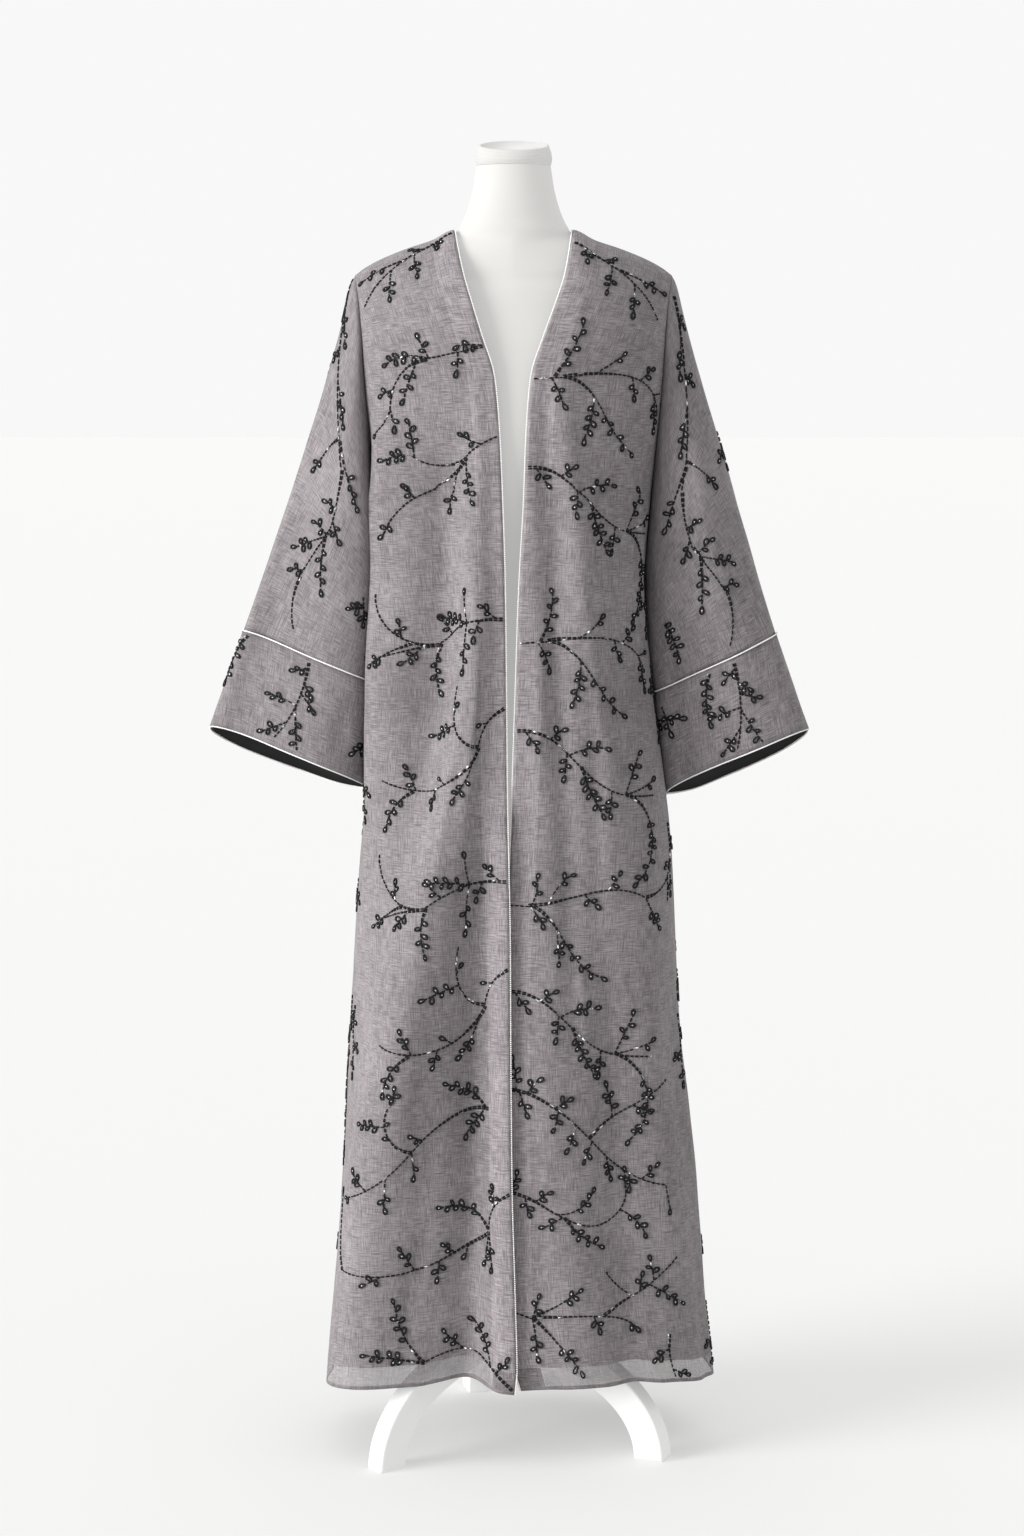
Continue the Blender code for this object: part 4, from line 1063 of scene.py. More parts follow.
beads, cord = pearl_white(), satin_cord()
aside = PIPING_R + SEAM_GAP
for name in SIDES:
    panel, cuff = panels[f"front_{name}"], panels[f"cuff_{name}"]
    inwards = unit(panel.points[:, 1] - panel.points[:, 0])
    edge = panel.points[:, 0] - panel.outs[:, 0] * CLOTH_WALL / 2 - inwards * aside
    bead_string(f"beads_down_front_{name}", edge, f"piping_front_{name}")
    seam_line = cuff.points[-1] + cuff.outs[-1] * aside
    cord_round(f"cord_on_cuff_seam_{name}", seam_line, f"piping_cuff_seam_{name}")
    down = unit(cuff.points[0] - cuff.points[1])
    hem_line = cuff.points[0] - cuff.outs[0] * CLOTH_WALL / 2 + down * aside
    cord_round(f"cord_on_cuff_hem_{name}", hem_line, f"piping_cuff_hem_{name}")
middle = panels["back"].points.shape[1] // 2
nape = slice(middle - NECK_COLUMNS, middle + NECK_COLUMNS + 1)
rim, rim_outs = panels["back"].points[-1, nape], panels["back"].outs[-1, nape]
rim = rim - rim_outs * CLOTH_WALL / 2
open_side = unit(np.cross(np.gradient(rim, axis=0), rim_outs))
bead_string("beads_round_neck", rim + open_side * aside, "piping_neck")


# Embroidery. Fine sprigs climb over every panel: stems in short black bead and chain stitches, and on them
# small loops of black stitching with one pale glass bead inside, sewn through the cloth by hand. The white
# of the glass beads is partly painted glint, and so are the few pale stitches on the stems.
REPEAT = 0.309  # from one sprig to the next of its kind up the cloth

# A branch starts at a share of its parent, turned from it in degrees, and its loops alternate along
# what is left of its length after the bare share. Lengths are in millimetres of flat cloth.
Branch = namedtuple("Branch", "parent share turn length loops bare bend sway name", defaults=(0, 0, ""))
SPRIGS = {
    "forked": [
        ("", 0, 4, 34, 0, 1, -4, 0, "root"), ("root", 1, 8, 158, 0, 1, -72, 18, "arch"),
        ("root", 1, -5, 134, 6, 0.52, -25, -38, "low"), ("root", 0.75, 58, 58, 6, 0.22, 35),
        ("root", 0.6, -52, 34, 4, 0.25, -20), ("arch", 0.24, 26, 36, 5, 0.72, 15),
        ("arch", 0.56, -62, 20, 4, 0.35), ("arch", 0.64, 62, 20, 4, 0.3), ("arch", 0.86, -30, 36, 5, 0.2),
        ("arch", 0.84, 48, 16, 1, 0.9), ("low", 0.36, -38, 48, 7, 0.15, -25),
    ],
    "wide_forked": [
        ("", 0, -4, 28, 0, 1, 2, 0, "root"), ("root", 0.8, 6, 148, 0, 1, -36, 26, "bough"),
        ("root", 1, -26, 124, 8, 0.42, 10, -34, "low"), ("root", 0.9, 62, 34, 3, 0.4, 40),
        ("root", 0.9, -46, 24, 3, 0.4, -10), ("bough", 0.16, 62, 42, 4, 0.6, -40),
        ("bough", 0.46, -70, 18, 3, 0.3, 30), ("bough", 0.66, 50, 20, 3, 0.3),
        ("bough", 1, -30, 42, 5, 0.4, 10), ("bough", 1, 36, 58, 0, 1, 44, 0, "tail"),
        ("tail", 0.9, -130, 30, 0, 1, -10), ("low", 0.32, -30, 38, 3, 0.5),
    ],
    "descending": [
        ("", 0, 6, 160, 0, 1, -18, -42, "run"), ("run", 0.07, -50, 22, 4, 0.25),
        ("run", 0.26, 62, 17, 3, 0.3), ("run", 0.44, -52, 26, 6, 0.2), ("run", 0.46, 72, 44, 5, 0.3, -35),
        ("run", 0.58, -24, 62, 9, 0.15, 10), ("run", 0.88, -62, 26, 4, 0.3, -10),
        ("run", 1, 78, 50, 4, 0.35), ("run", 1, 26, 46, 4, 0.78, 5), ("run", 1, 4, 46, 0, 1, 8),
        ("run", 1, -6, 128, 12, 0.36, -122, 0, "fall"),
    ],
    "split": [
        ("", 0, -20, 47, 0, 1, -22, 0, "root"), ("root", 0.45, 44, 24, 5, 0.3, 10),
        ("root", 1, 6, 74, 0, 1, 74, 0, "left"), ("left", 0.92, 60, 40, 5, 0.2, -10),
        ("left", 1, -34, 36, 7, 0.1, -26), ("root", 1, -12, 134, 0, 1, 6, 22, "low"),
        ("low", 0.12, -16, 54, 7, 0.7, -16), ("low", 0.66, 76, 18, 4, 0.3), ("low", 1, -8, 18, 5, 0.1),
        ("root", 1, -42, 54, 8, 0.3, -24),
    ],
    "low_split": [
        ("", 0, -30, 58, 0, 1, -50, 0, "root"), ("root", 0.48, 52, 8, 1, 0.3),
        ("root", 0.97, 72, 92, 0, 1, 112, 24, "left"), ("left", 0.48, -84, 46, 6, 0.12, -8),
        ("left", 0.62, 30, 8, 1, 0.3), ("root", 1, 14, 162, 0, 1, 86, 6, "low"),
        ("low", 0.1, -20, 52, 6, 0.5, 24), ("low", 0.4, 60, 9, 1, 0.3), ("low", 0.52, -62, 18, 4, 0.2),
        ("low", 0.72, 62, 26, 4, 0.2), ("low", 0.74, -34, 58, 6, 0.25, -44),
    ],
    "wide_arch": [
        ("", 0, 2, 110, 0, 1, -38, 0, "run"), ("run", 0.08, 40, 20, 4, 0.3),
        ("run", 0.28, -60, 20, 4, 0.3), ("run", 0.42, 24, 48, 8, 0.12, -12),
        ("run", 0.42, 84, 32, 1, 0.3, 20), ("run", 0.43, -62, 54, 4, 0.4, -14),
        ("run", 0.78, 70, 20, 3, 0.3), ("run", 0.98, -30, 56, 6, 0.25, -40),
        ("run", 1, 26, 109, 0, 1, 110, -12, "bow"), ("bow", 0.05, -6, 75, 0, 1, -6),
        ("bow", 0.15, -40, 34, 4, 0.4), ("bow", 0.3, -34, 62, 4, 0.7, -14), ("bow", 0.42, 62, 16, 3, 0.2),
    ],
    "long_arch": [
        ("", 0, -16, 72, 0, 1, 12, 0, "run"), ("run", 0.02, 20, 26, 5, 0.3, -10),
        ("run", 0.46, -58, 20, 5, 0.2), ("run", 0.98, 22, 58, 9, 0.25, -44),
        ("run", 0.98, 84, 22, 5, 0.25), ("run", 1, 0, 92, 0, 1, -84, 0, "bow"),
        ("bow", 0.16, -34, 50, 5, 0.25, -20), ("bow", 0.72, 46, 18, 5, 0.2),
        ("bow", 0.96, -16, 20, 2, 0.5), ("bow", 1, 30, 40, 1, 0.9, 30),
    ],
    "long_fall": [
        ("", 0, -4, 238, 0, 1, -4, -40, "run"), ("run", 0.05, 96, 36, 5, 0.25, 20),
        ("run", 0.1, 66, 20, 4, 0.2), ("run", 0.07, -62, 24, 4, 0.3), ("run", 0.26, 62, 17, 3, 0.3),
        ("run", 0.28, -66, 20, 5, 0.2), ("run", 0.4, -66, 27, 3, 0.3),
        ("run", 0.5, 88, 120, 0, 1, -4, -12, "rise"), ("rise", 0.33, 58, 36, 5, 0.25, 25),
        ("rise", 0.56, -48, 20, 4, 0.2), ("run", 0.52, -70, 22, 4, 0.3), ("run", 0.64, -34, 24, 5, 0.2),
        ("run", 0.8, -56, 15, 4, 0.2), ("run", 0.87, 62, 21, 4, 0.3), ("run", 1, -72, 30, 1, 0.8),
    ],
    "under_arch": [
        ("", 0, -10, 176, 0, 1, 95, -60, "run"), ("run", 0.02, 78, 22, 6, 0.15),
        ("run", 0.13, -60, 17, 3, 0.3), ("run", 0.2, 62, 18, 4, 0.3), ("run", 0.36, 22, 54, 5, 0.42, 70),
        ("run", 0.41, -122, 23, 6, 0.25), ("run", 0.42, -26, 58, 9, 0.25, 28),
        ("run", 0.88, -74, 42, 6, 0.25, -40), ("run", 1, 8, 26, 6, 0.35),
    ],
    "wide_fork": [
        ("", 0, -22, 28, 0, 1, 0, 0, "root"), ("root", 1, 26, 122, 0, 1, -30, 8, "bough"),
        ("bough", 0.72, 34, 124, 0, 1, 24, 0, "rise"), ("root", 1, 92, 25, 4, 0.3),
        ("root", 1, 48, 64, 4, 0.72, 6), ("root", 1, -60, 46, 4, 0.4, -16),
        ("root", 1, -22, 82, 7, 0.55, -18), ("bough", 0.6, -62, 15, 3, 0.3),
        ("bough", 1, -14, 10, 2, 0.2), ("rise", 0.36, 118, 50, 0, 1, -30), ("rise", 0.46, 48, 17, 4, 0.2),
        ("rise", 0.58, -66, 46, 6, 0.2), ("rise", 0.64, 60, 24, 5, 0.3),
    ],
    "hooked": [
        ("", 0, 5, 222, 0, 1, -20, -40, "run"), ("run", 0.02, 48, 58, 9, 0.2, -42),
        ("run", 0.02, -48, 42, 6, 0.2, -10), ("run", 0.44, 64, 12, 2, 0.3),
        ("run", 0.52, 48, 78, 3, 0.3, 125, 0, "curl"), ("curl", 0.64, -84, 40, 7, 0.2),
        ("curl", 1, -20, 16, 3, 0.3), ("run", 0.53, -52, 28, 2, 0.5), ("run", 0.72, -46, 36, 7, 0.55),
        ("run", 0.86, 64, 28, 5, 0.3), ("run", 1, 0, 12, 2, 0.2),
    ],
    "long_sweep": [
        ("", 0, -26, 62, 0, 1, -66, 0, "root"), ("root", 0.5, 148, 22, 5, 0.2),
        ("root", 1, -4, 42, 3, 0.4), ("root", 1, 12, 38, 2, 0.5), ("root", 0.95, 140, 70, 9, 0.28, -60),
        ("root", 1, 52, 206, 0, 1, 50, 0, "sweep"), ("sweep", 0.18, -46, 13, 1, 0.4),
        ("sweep", 0.28, 62, 14, 4, 0.2), ("sweep", 0.38, -62, 20, 6, 0.2),
        ("sweep", 0.53, 70, 29, 5, 0.25), ("sweep", 0.74, -24, 20, 6, 0.2),
        ("sweep", 1, 50, 90, 1, 0.9, 26),
    ],
    "low_branch": [
        ("", 0, 42, 128, 0, 1, -62, 0, "run"), ("run", 0.3, 62, 52, 7, 0.25, -48),
        ("run", 0.22, 104, 19, 3, 0.3), ("run", 0.62, 42, 31, 5, 0.3), ("run", 1, 62, 84, 7, 0.4, 44),
        ("run", 1, 30, 72, 8, 0.3),
    ],
    "shoulder_spray": [
        ("", 0, -10, 152, 0, 1, -38, 0, "run"), ("run", 0.1, -60, 14, 3, 0.2),
        ("run", 0.26, 48, 12, 2, 0.3), ("run", 0.34, -58, 34, 5, 0.4, -16),
        ("run", 0.42, 24, 60, 4, 0.45, -14), ("run", 0.56, -42, 40, 5, 0.45),
    ],
    "sleeve_vine": [
        ("", 0, -106, 190, 0, 1, -34, 0, "drop"), ("drop", 0.12, 50, 17, 4, 0.3),
        ("drop", 0.24, -36, 34, 7, 0.3, 10), ("drop", 0.42, 52, 17, 5, 0.3),
        ("drop", 0.58, -34, 42, 7, 0.3, 14), ("drop", 0.85, 84, 66, 3, 0.8, -16),
        ("drop", 0.87, -26, 64, 7, 0.55, 10), ("drop", 1, 40, 71, 0, 1, 16, 0, "knee"),
        ("knee", 0.62, 64, 20, 5, 0.2), ("knee", 0.86, -52, 18, 5, 0.2),
        ("knee", 1, 18, 80, 0, 1, -6, 0, "shin"), ("shin", 0.16, 62, 22, 4, 0.3),
        ("shin", 0.2, 22, 54, 5, 0.5, 8), ("shin", 0.22, -30, 56, 6, 0.2, -14),
        ("shin", 0.9, 52, 16, 5, 0.2), ("shin", 1, -8, 62, 0, 1, -50),
    ],
    "side_twig": [
        ("", 0, -100, 62, 0, 1, 26, 0, "twig"), ("twig", 0.3, -56, 20, 3, 0.3),
        ("twig", 0.7, 58, 18, 3, 0.3), ("twig", 1, -10, 20, 4, 0.2),
    ],
    "cuff_vine": [
        ("", 0, -98, 116, 0, 1, 36, 0, "stem"), ("stem", 0.12, 62, 16, 4, 0.2),
        ("stem", 0.28, -48, 14, 3, 0.2), ("stem", 0.4, -62, 22, 3, 0.5),
        ("stem", 0.54, 85, 36, 5, 0.35, -10), ("stem", 0.56, -24, 54, 5, 0.3, -8),
        ("stem", 0.76, 32, 34, 4, 0.35),
    ],
    "lone_twig": [
        ("", 0, -112, 60, 10, 0.1, 26),
    ],
    "lone_fork": [
        ("", 0, -70, 34, 5, 0.3, -16, 0, "twig"), ("twig", 0.4, -58, 22, 5, 0.2),
        ("twig", 0.5, 54, 18, 4, 0.2),
    ],
}

# Where the sprigs of each panel start: the share across it and the metres added to that, the height
# above the hem, which way along the panel they grow, and how many of a kind follow down the cloth.
Line = namedtuple("Line", "kind share out rise way count", defaults=(1, 1))
LINES = {
    "front_right": [
        ("shoulder_spray", 0, 0.003, 1.376), ("split", 0, 0.002, 1.136),
        ("low_split", 0, 0.002, 0.818, 1, 2), ("long_arch", 0, 0.002, 1.238),
        ("wide_arch", 0, 0.002, 0.922, 1, 2), ("hooked", 0, 0.03, 0.34), ("long_sweep", 0, 0.002, 0.241),
        ("low_branch", 0, 0.002, 0.006), ("side_twig", 1, -0.022, 0.9), ("side_twig", 1, -0.03, 0.46),
        ("side_twig", 1, -0.026, 0.19), ("side_twig", 0.84, 0, 0.76, -1, 2),
        ("lone_fork", 0.95, 0, 0.6, -1, 2),
    ],
    "front_left": [
        ("shoulder_spray", 0, 0.003, 1.354), ("descending", 0, 0.002, 1.098, 1, 3),
        ("forked", 0, 0.002, 1.202, 1, 2), ("wide_forked", 0, 0.002, 0.584),
        ("long_fall", 0, 0.002, 0.364), ("under_arch", 0, 0.002, 0.241), ("wide_fork", 0, 0.002, 0.098),
        ("side_twig", 1, -0.024, 0.86), ("side_twig", 1, -0.04, 0.44, -1), ("side_twig", 0.62, 0, 0.06),
        ("side_twig", 0.93, 0, 0.09, -1), ("side_twig", 0.86, 0, 0.98, -1, 2),
        ("lone_fork", 0.95, 0, 0.8, 1, 3),
    ],
    "back": [
        ("forked", 0.5, 0.004, 1.27, 1, 2), ("wide_forked", 0.5, 0.004, 0.65),
        ("descending", 0.5, 0, 1.16, 1, 3), ("long_fall", 0.5, 0, 0.33), ("wide_fork", 0.5, 0, 0.11),
        ("long_arch", 0.5, -0.004, 1.22, -1), ("wide_arch", 0.5, -0.004, 0.91, -1, 2),
        ("split", 0.5, 0, 1.12, -1), ("low_split", 0.5, 0, 0.81, -1, 2), ("hooked", 0.5, -0.01, 0.31, -1),
        ("long_sweep", 0.5, 0, 0.2, -1), ("split", 0.5, 0.2, 1.1, 1, 4),
        ("descending", 0.5, -0.2, 1.02, -1, 4), ("side_twig", 0.05, 0, 1, 1, 3),
        ("lone_fork", 0.95, 0, 0.86, -1, 3),
    ],
    "sleeve_right": [
        ("sleeve_vine", 0.35, 0.086, 0.38), ("lone_fork", 0.16, 0, 0.115, -1),
        ("sleeve_vine", 0.65, -0.088, 0.366, -1), ("lone_fork", 0.93, 0, 0.155),
    ],
    "sleeve_left": [
        ("sleeve_vine", 0.28, 0.092, 0.372), ("lone_twig", 0.1, 0, 0.09, -1),
        ("lone_fork", 0.48, 0, 0.215, -1), ("sleeve_vine", 0.7, -0.088, 0.372, -1),
        ("lone_fork", 0.9, 0, 0.14),
    ],
    "cuff_right": [
        ("cuff_vine", 0.27, 0, 0.122), ("lone_twig", 0.47, 0, 0.12, -1), ("lone_fork", 0.07, 0, 0.06, -1),
        ("cuff_vine", 0.76, 0, 0.122, -1),
    ],
    "cuff_left": [
        ("cuff_vine", 0.28, 0, 0.121, -1), ("lone_twig", 0.2, 0, 0.116), ("lone_fork", 0.04, 0, 0.1),
        ("cuff_vine", 0.74, 0, 0.121),
    ],
}
PATH_STEP = 0.0015
DASH, DASH_GAP = 0.0055, 0.0006
DASH_SIDES, DASH_SHOULDERS = 5, (0.18, 0.82)  # a stitch is full between these shares of its length
DASH_LIFT, DASH_END_LIFT = 0.55, 0.22  # how far it stands off the cloth, in its own radii
STEM_R, LOOP_R = 0.00104, 0.00132
STEM_SIZES, LOOP_SIZES = (0.8, 1.15), (0.82, 1.12)  # a stitch's size varies between these shares
LOOP_WIDTHS = (0.85, 1.1)
LOOP_STRAY, LOOP_SWING = 0.03, 22  # how far a loop strays along its branch, and turns in degrees
LOOP_LONG, LOOP_WIDE, LOOP_LEAN = 0.0086, 0.0056, 56
LOOP_KNOTS, LOOP_SIDES = 10, 4
LOOP_LIFT, LOOP_POINT, LOOP_HEART = 0.6, 0.7, 0.55  # the heart is the share where the loop is widest
LOOP_SPACE = 7.0  # millimetres of twig that a loop takes up
GLASS_R, GLASS_SIDES = 0.0011, 6
GLASS_HEART, GLASS_RISE, GLASS_TAPER = 0.56, 1.5, 0.45
TWIN_FROM, TWIN_APART, TWIN_SHARE = 55, 0.0026, 0.5  # a long branch starts as two rows that join
# The pale stem stitches are painted glints on the black bead stems.
PAINTED_GLINT_STITCHES = 0.06  # share of the stem stitches that are pale glass
MARGIN = 0.0016
BLACK, PALE = 0, 1


def branch_path(start, heading, branch, way):
    """Points along a branch on flat cloth, with the heading at each."""
    long = branch.length / 1000
    steps = max(2, round(long / PATH_STEP))
    t = (np.arange(steps) + 0.5) / steps
    headings = np.radians(heading + branch.bend * t + branch.sway * np.sin(math.pi * t))
    moves = np.stack([way * np.cos(headings), np.sin(headings)], axis=1) * long / steps
    points = np.concatenate([[start], start + np.cumsum(moves, axis=0)])
    return points, np.degrees(np.concatenate([headings[:1], headings]))


def spot(panel, share, u, v):
    """The point on a panel at a place on its flat cloth, and the way out from it, or None past an edge."""
    if not MARGIN < v < panel.rise[-1] - MARGIN:
        return None
    r = float(np.interp(v, panel.rise, np.arange(len(panel.rise))))
    low = min(int(r), len(panel.rise) - 2)
    t = r - low
    row = panel.across[low]
    at = share * row[-1] + u
    if panel.closed:
        at %= row[-1]
    elif not MARGIN < at < row[-1] - MARGIN:
        return None
    c = float(np.interp(at, row, np.arange(len(row))))
    left = min(int(c), len(row) - 2)
    s = c - left
    right = (left + 1) % panel.points.shape[1]
    found = []
    for grid in (panel.points, panel.outs):
        lower, upper = [grid[i, left] * (1 - s) + grid[i, right] * s for i in (low, low + 1)]
        found.append(lower * (1 - t) + upper * t)
    return found[0], unit(found[1])


def rounds(sides, start=0.0):
    """(cosine, sine) of equal turns round a circle, from a share of the first turn."""
    turns = [2 * math.pi * (n + start) / sides for n in range(sides)]
    return [(math.cos(t), math.sin(t)) for t in turns]


class Stitching:
    """The stitches of one panel, gathered before they become one mesh."""

    def __init__(self, seed):
        self.points, self.faces, self.kinds = [], [], []
        self.chance = random.Random(seed)

    def add(self, points, faces, kind):
        start = len(self.points)
        self.points += points
        self.faces += [tuple(start + i for i in face) for face in faces]
        self.kinds += [kind] * len(faces)

    def dash(self, start, end, outs):
        """One stitch of a stem: a grain with pointed ends, half sunk in the cloth."""
        aside = unit(np.cross(outs, end - start))
        radius = STEM_R * self.chance.uniform(*STEM_SIZES)
        points = [start + outs * radius * DASH_END_LIFT]
        for share in DASH_SHOULDERS:
            middle = between(start, end, share) + outs * radius * DASH_LIFT
            points += [middle + (aside * x + outs * y) * radius for x, y in rounds(DASH_SIDES, 0.25)]
        points.append(end + outs * radius * DASH_END_LIFT)
        faces = []
        for c in range(1, DASH_SIDES + 1):
            d = c % DASH_SIDES + 1
            faces += [(0, d, c), (c, d, DASH_SIDES + d, DASH_SIDES + c)]
            faces.append((DASH_SIDES + c, DASH_SIDES + d, 2 * DASH_SIDES + 1))
        # A few stem stitches take the pale finish: painted glints.
        self.add(points, faces, PALE if self.chance.random() < PAINTED_GLINT_STITCHES else BLACK)

    def loop(self, root, along, outs):
        """A teardrop of chain stitch from its root, with a pale bead in it."""
        aside = unit(np.cross(outs, along))
        size = self.chance.uniform(*LOOP_SIZES)
        long, wide = LOOP_LONG * size, LOOP_WIDE * size * self.chance.uniform(*LOOP_WIDTHS)
        points, faces = [], []
        for knot, (x, y) in enumerate(rounds(LOOP_KNOTS)):
            x = long * (1 - x) / 2
            y = wide / 2 * y * math.sin(math.pi * knot / LOOP_KNOTS) ** LOOP_POINT
            middle = root + along * x + aside * y + outs * LOOP_R * LOOP_LIFT
            spread = unit(along * (x - long * LOOP_HEART) + aside * y)
            points += [middle + (spread * a + outs * b) * LOOP_R for a, b in rounds(LOOP_SIDES, 0.5)]
            this, ahead = LOOP_SIDES * knot, LOOP_SIDES * ((knot + 1) % LOOP_KNOTS)
            for c in range(LOOP_SIDES):
                d = (c + 1) % LOOP_SIDES
                faces.append((this + c, this + d, ahead + d, ahead + c))
        self.add(points, faces, BLACK)
        middle = root + along * long * GLASS_HEART
        rim = [middle + (along * x + aside * y) * GLASS_R for x, y in rounds(GLASS_SIDES)]
        table = [between(p, middle, GLASS_TAPER) + outs * GLASS_R * GLASS_RISE for p in rim]
        around = [(n, (n + 1) % GLASS_SIDES) for n in range(GLASS_SIDES)]
        faces = [(n, m, GLASS_SIDES + m, GLASS_SIDES + n) for n, m in around]
        self.add(rim + table, faces + [tuple(range(GLASS_SIDES, 2 * GLASS_SIDES))], PALE)

    def sew(self, panel, line, path, headings, branch):
        """Stitches along a branch, and its loops."""
        along = lengths_along(np.concatenate([path, np.zeros((len(path), 1))], axis=1))
        total = along[-1]
        joins = TWIN_SHARE * total

        def flat(at):
            return [np.interp(at, along, path[:, k]) for k in (0, 1)]

        for begin in np.arange(0, total - DASH / 2, DASH + DASH_GAP):
            start, end = [spot(panel, line.share, *flat(at)) for at in (begin, min(begin + DASH, total))]
            if start is None or end is None:
                continue
            (first, outs), last = start, end[0]
            self.dash(first, last, outs)
            if branch.length > TWIN_FROM and begin < joins:
                beside = unit(np.cross(outs, last - first)) * TWIN_APART
                gaps = [ease(1 - share / joins) for share in (begin, begin + DASH)]
                self.dash(first + beside * gaps[0], last + beside * gaps[1], outs)
        room = max(1, round((1 - branch.bare) * branch.length / LOOP_SPACE) + 1)
        count = min(branch.loops, room)
        for number in range(count):
            last = number == count - 1
            share = branch.bare + (1 - branch.bare) * (number + 0.5) / count
            share = 1.0 if last else min(1.0, share + self.chance.uniform(-LOOP_STRAY, LOOP_STRAY))
            u, v = flat(share * total)
            lean = 0 if last else LOOP_LEAN * (1 if number % 2 else -1)
            turn = np.interp(share * total, along, headings) + lean
            turn += self.chance.uniform(-LOOP_SWING, LOOP_SWING)
            x, y = math.cos(math.radians(turn)), math.sin(math.radians(turn))
            root = spot(panel, line.share, u, v)
            tip = spot(panel, line.share, u + line.way * x * LOOP_LONG, v + y * LOOP_LONG)
            if root and tip:
                self.loop(root[0], unit(tip[0] - root[0]), root[1])


def embroidered(name, seed):
    """All the sprigs of one panel as one mesh."""
    made = Stitching(seed)
    for line in rows_of(Line, *LINES[name]):
        for number in range(line.count):
            paths = {"": ([np.array([line.out, line.rise - number * REPEAT])], [0.0])}
            for branch in rows_of(Branch, *SPRIGS[line.kind]):
                points, headings = paths[branch.parent]
                at = round(branch.share * (len(points) - 1))
                path, headings = branch_path(points[at], headings[at] + branch.turn, branch, line.way)
                if branch.name:
                    paths[branch.name] = path, headings
                made.sew(panels[name], line, path, headings, branch)
    return joined_mesh(f"embroidery_{name}", made.points, made.faces, made.kinds)


def black_stitching():
    material, tree, where = finish_named("black_bead_stitching", 0.60, Specular_IOR_Level=0.2)
    uneven = grain(tree, where, (900, 900, 900))
    dye(tree, uneven, (0.001, 0.001, 0.0015), (0.009, 0.009, 0.011))
    relief(tree, uneven, 0.4, 0.0003)
    return material


def pale_glass():
    material, tree, where = finish_named("pale_glass_beads_and_painted_glints", 0.16, Coat_Weight=0.6)
    # The beads run from dark grey to white at random; the white ones are painted glints, the glass's
    # sparkle painted into its colour.
    dye(tree, grain(tree, where, (300, 300, 300)), (0.10, 0.10, 0.11), (0.95, 0.95, 0.97), 0.45, 0.64)
    return material


thread, glass = black_stitching(), pale_glass()
for seed, name in enumerate(panels):
    show(embroidered(name, seed), thread).data.materials.append(glass)


# Sheets. A panel's cut is its own width and length with the turnings that its seams take up, and its area
# is taken row by row, because the panels flare. Each piece's cut is worked out here and not used further.
SEAM_TURN, FACING_TURN = 0.012, 0.005


def cut_of(panel):
    """(width, length) and area of the flat piece that a panel was sewn from."""
    points = joined_up(panel.points, panel.closed)
    first, second = points[1:, 1:] - points[:-1, :-1], points[1:, :-1] - points[:-1, 1:]
    area = float(np.linalg.norm(np.cross(first, second), axis=2).sum()) / 2
    width = float(panel.across[:, -1].max()) + 2 * SEAM_TURN
    length = float(np.linalg.norm(np.diff(panel.points, axis=0), axis=2).sum(axis=0).max()) + 2 * SEAM_TURN
    area += 2 * SEAM_TURN * (width + length)
    flat = (round(width, 3), round(length, 3))
    return flat, min(area, flat[0] * flat[1])


for name, piece in pieces.items():
    source = name.replace("lining_", "").replace("facing_", "front_")
    flat, area = cut_of(panels[source])
    if name.startswith("facing"):
        flat = (round(FACING_W + 2 * FACING_TURN, 3), flat[1])
        area = flat[0] * flat[1]
    if name.startswith("lining_sleeve"):
        cuff_flat, cuff_area = cut_of(panels[source.replace("sleeve", "cuff")])
        flat, area = (flat[0], round(flat[1] + cuff_flat[1], 3)), area + cuff_area


# Floor. A wide sheet of pale seamless paper, which isn't part of the object.
FLOOR_HALF = 60.0
PAPER, PAPER_GLOW = 0.41, 0.402


def pale_paper():
    material, tree, where = finish_named("pale_paper", 0.9, PAPER_GLOW)
    dye(tree, grain(tree, where, (1.5, 1.5, 1.5)), [PAPER] * 3, [1.01 * PAPER] * 3)
    return material


corners = [(x * FLOOR_HALF, y * FLOOR_HALF, 0) for x, y in ((-1, -1), (1, -1), (1, 1), (-1, 1))]
sheet = bpy.data.meshes.new("floor")
sheet.from_pydata(corners, [], [(0, 1, 2, 3)])
sheet.materials.append(pale_paper())
floor = added("floor", sheet)


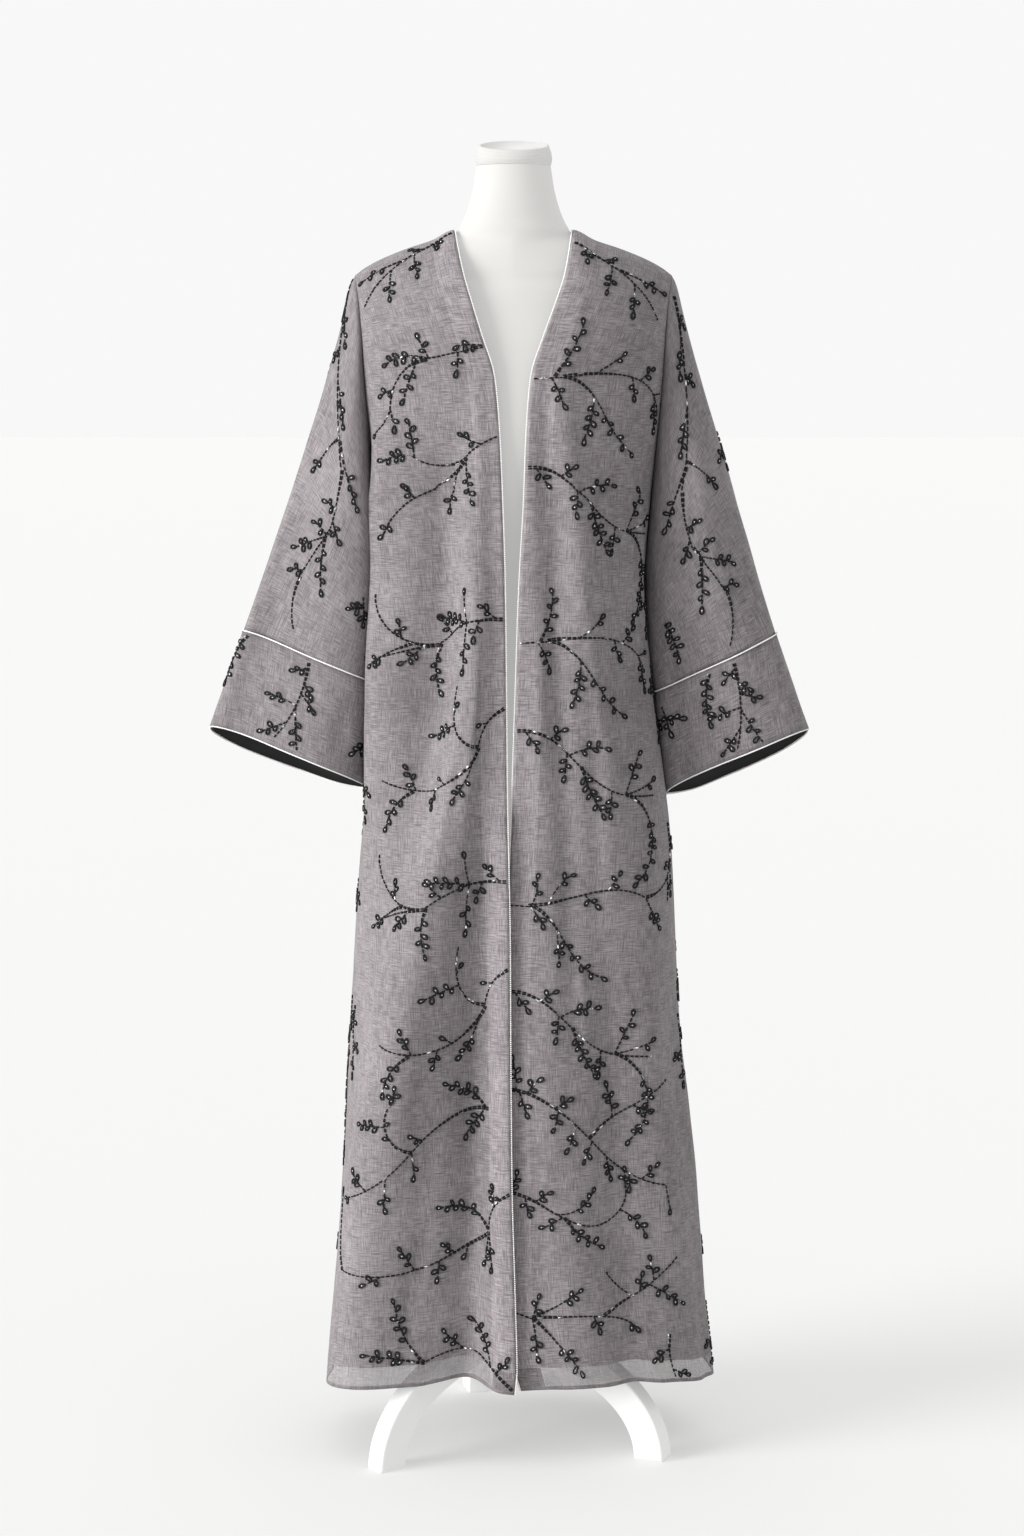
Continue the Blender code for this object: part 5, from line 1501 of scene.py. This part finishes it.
# Light. The room has bright white walls, a dimmer ceiling and a wide soft light straight above. One far,
# very soft lamp stands at the viewer's left, a little in front of the object and above it.
WALL_LIGHT, CEILING_LIGHT, TOP_LIGHT = 0.94, 0.36, 1.70
WALL_TOP, CEILING_EDGE = 0.16, 0.46  # sines of the heights between which the wall's light fades
TOP_EDGE, TOP_FULL = 0.70, 0.90
LAMP_FROM = Vector((-0.88, -0.41, 0.25))
LAMP_SOFT, LAMP_STRENGTH = math.radians(34), 4.3

world = bpy.data.worlds.new("white_room")
world.use_nodes = True
tree = world.node_tree
sky = node(tree, "ShaderNodeTexCoord").outputs["Generated"]
up = node(tree, "ShaderNodeSeparateXYZ", Vector=sky).outputs["Z"]
walls = graded(tree, up, WALL_TOP, CEILING_EDGE, WALL_LIGHT, CEILING_LIGHT, "SMOOTHSTEP")
above = graded(tree, up, TOP_EDGE, TOP_FULL, 0.0, TOP_LIGHT - CEILING_LIGHT, "SMOOTHSTEP")
room = tree.nodes["Background"]
room.inputs["Color"].default_value = (1, 1, 1, 1)
tree.links.new(sums(tree, "ADD", walls, above), room.inputs["Strength"])
bpy.context.scene.world = world
lamp_data = bpy.data.lights.new("soft_lamp", "SUN")
lamp_data.angle = LAMP_SOFT
lamp_data.energy = LAMP_STRENGTH
lamp = added("soft_lamp", lamp_data)
lamp.rotation_euler = LAMP_FROM.to_track_quat("Z", "Y").to_euler()
bpy.context.scene.view_settings.view_transform = "Standard"


# Camera. It stands where the photograph was taken from, a little above the middle, tilted down.
IMAGE_W, IMAGE_H = 1024, 1536
FOCAL_PIXELS = 3353
MIDDLE_COLUMN = 513.5  # the object's middle, in the image
SENSOR = 36.0
CAMERA_AT, CAMERA_TILT = (0, -4.016, 1.30), math.radians(90 - 6.8)

camera_data = bpy.data.cameras.new("camera")
camera_data.sensor_width = SENSOR
camera_data.lens = FOCAL_PIXELS / IMAGE_H * SENSOR
camera_data.shift_x = -(MIDDLE_COLUMN - IMAGE_W / 2) / IMAGE_H
camera = added("camera", camera_data)
camera.location = CAMERA_AT
camera.rotation_euler = (CAMERA_TILT, 0, 0)
bpy.context.scene.camera = camera
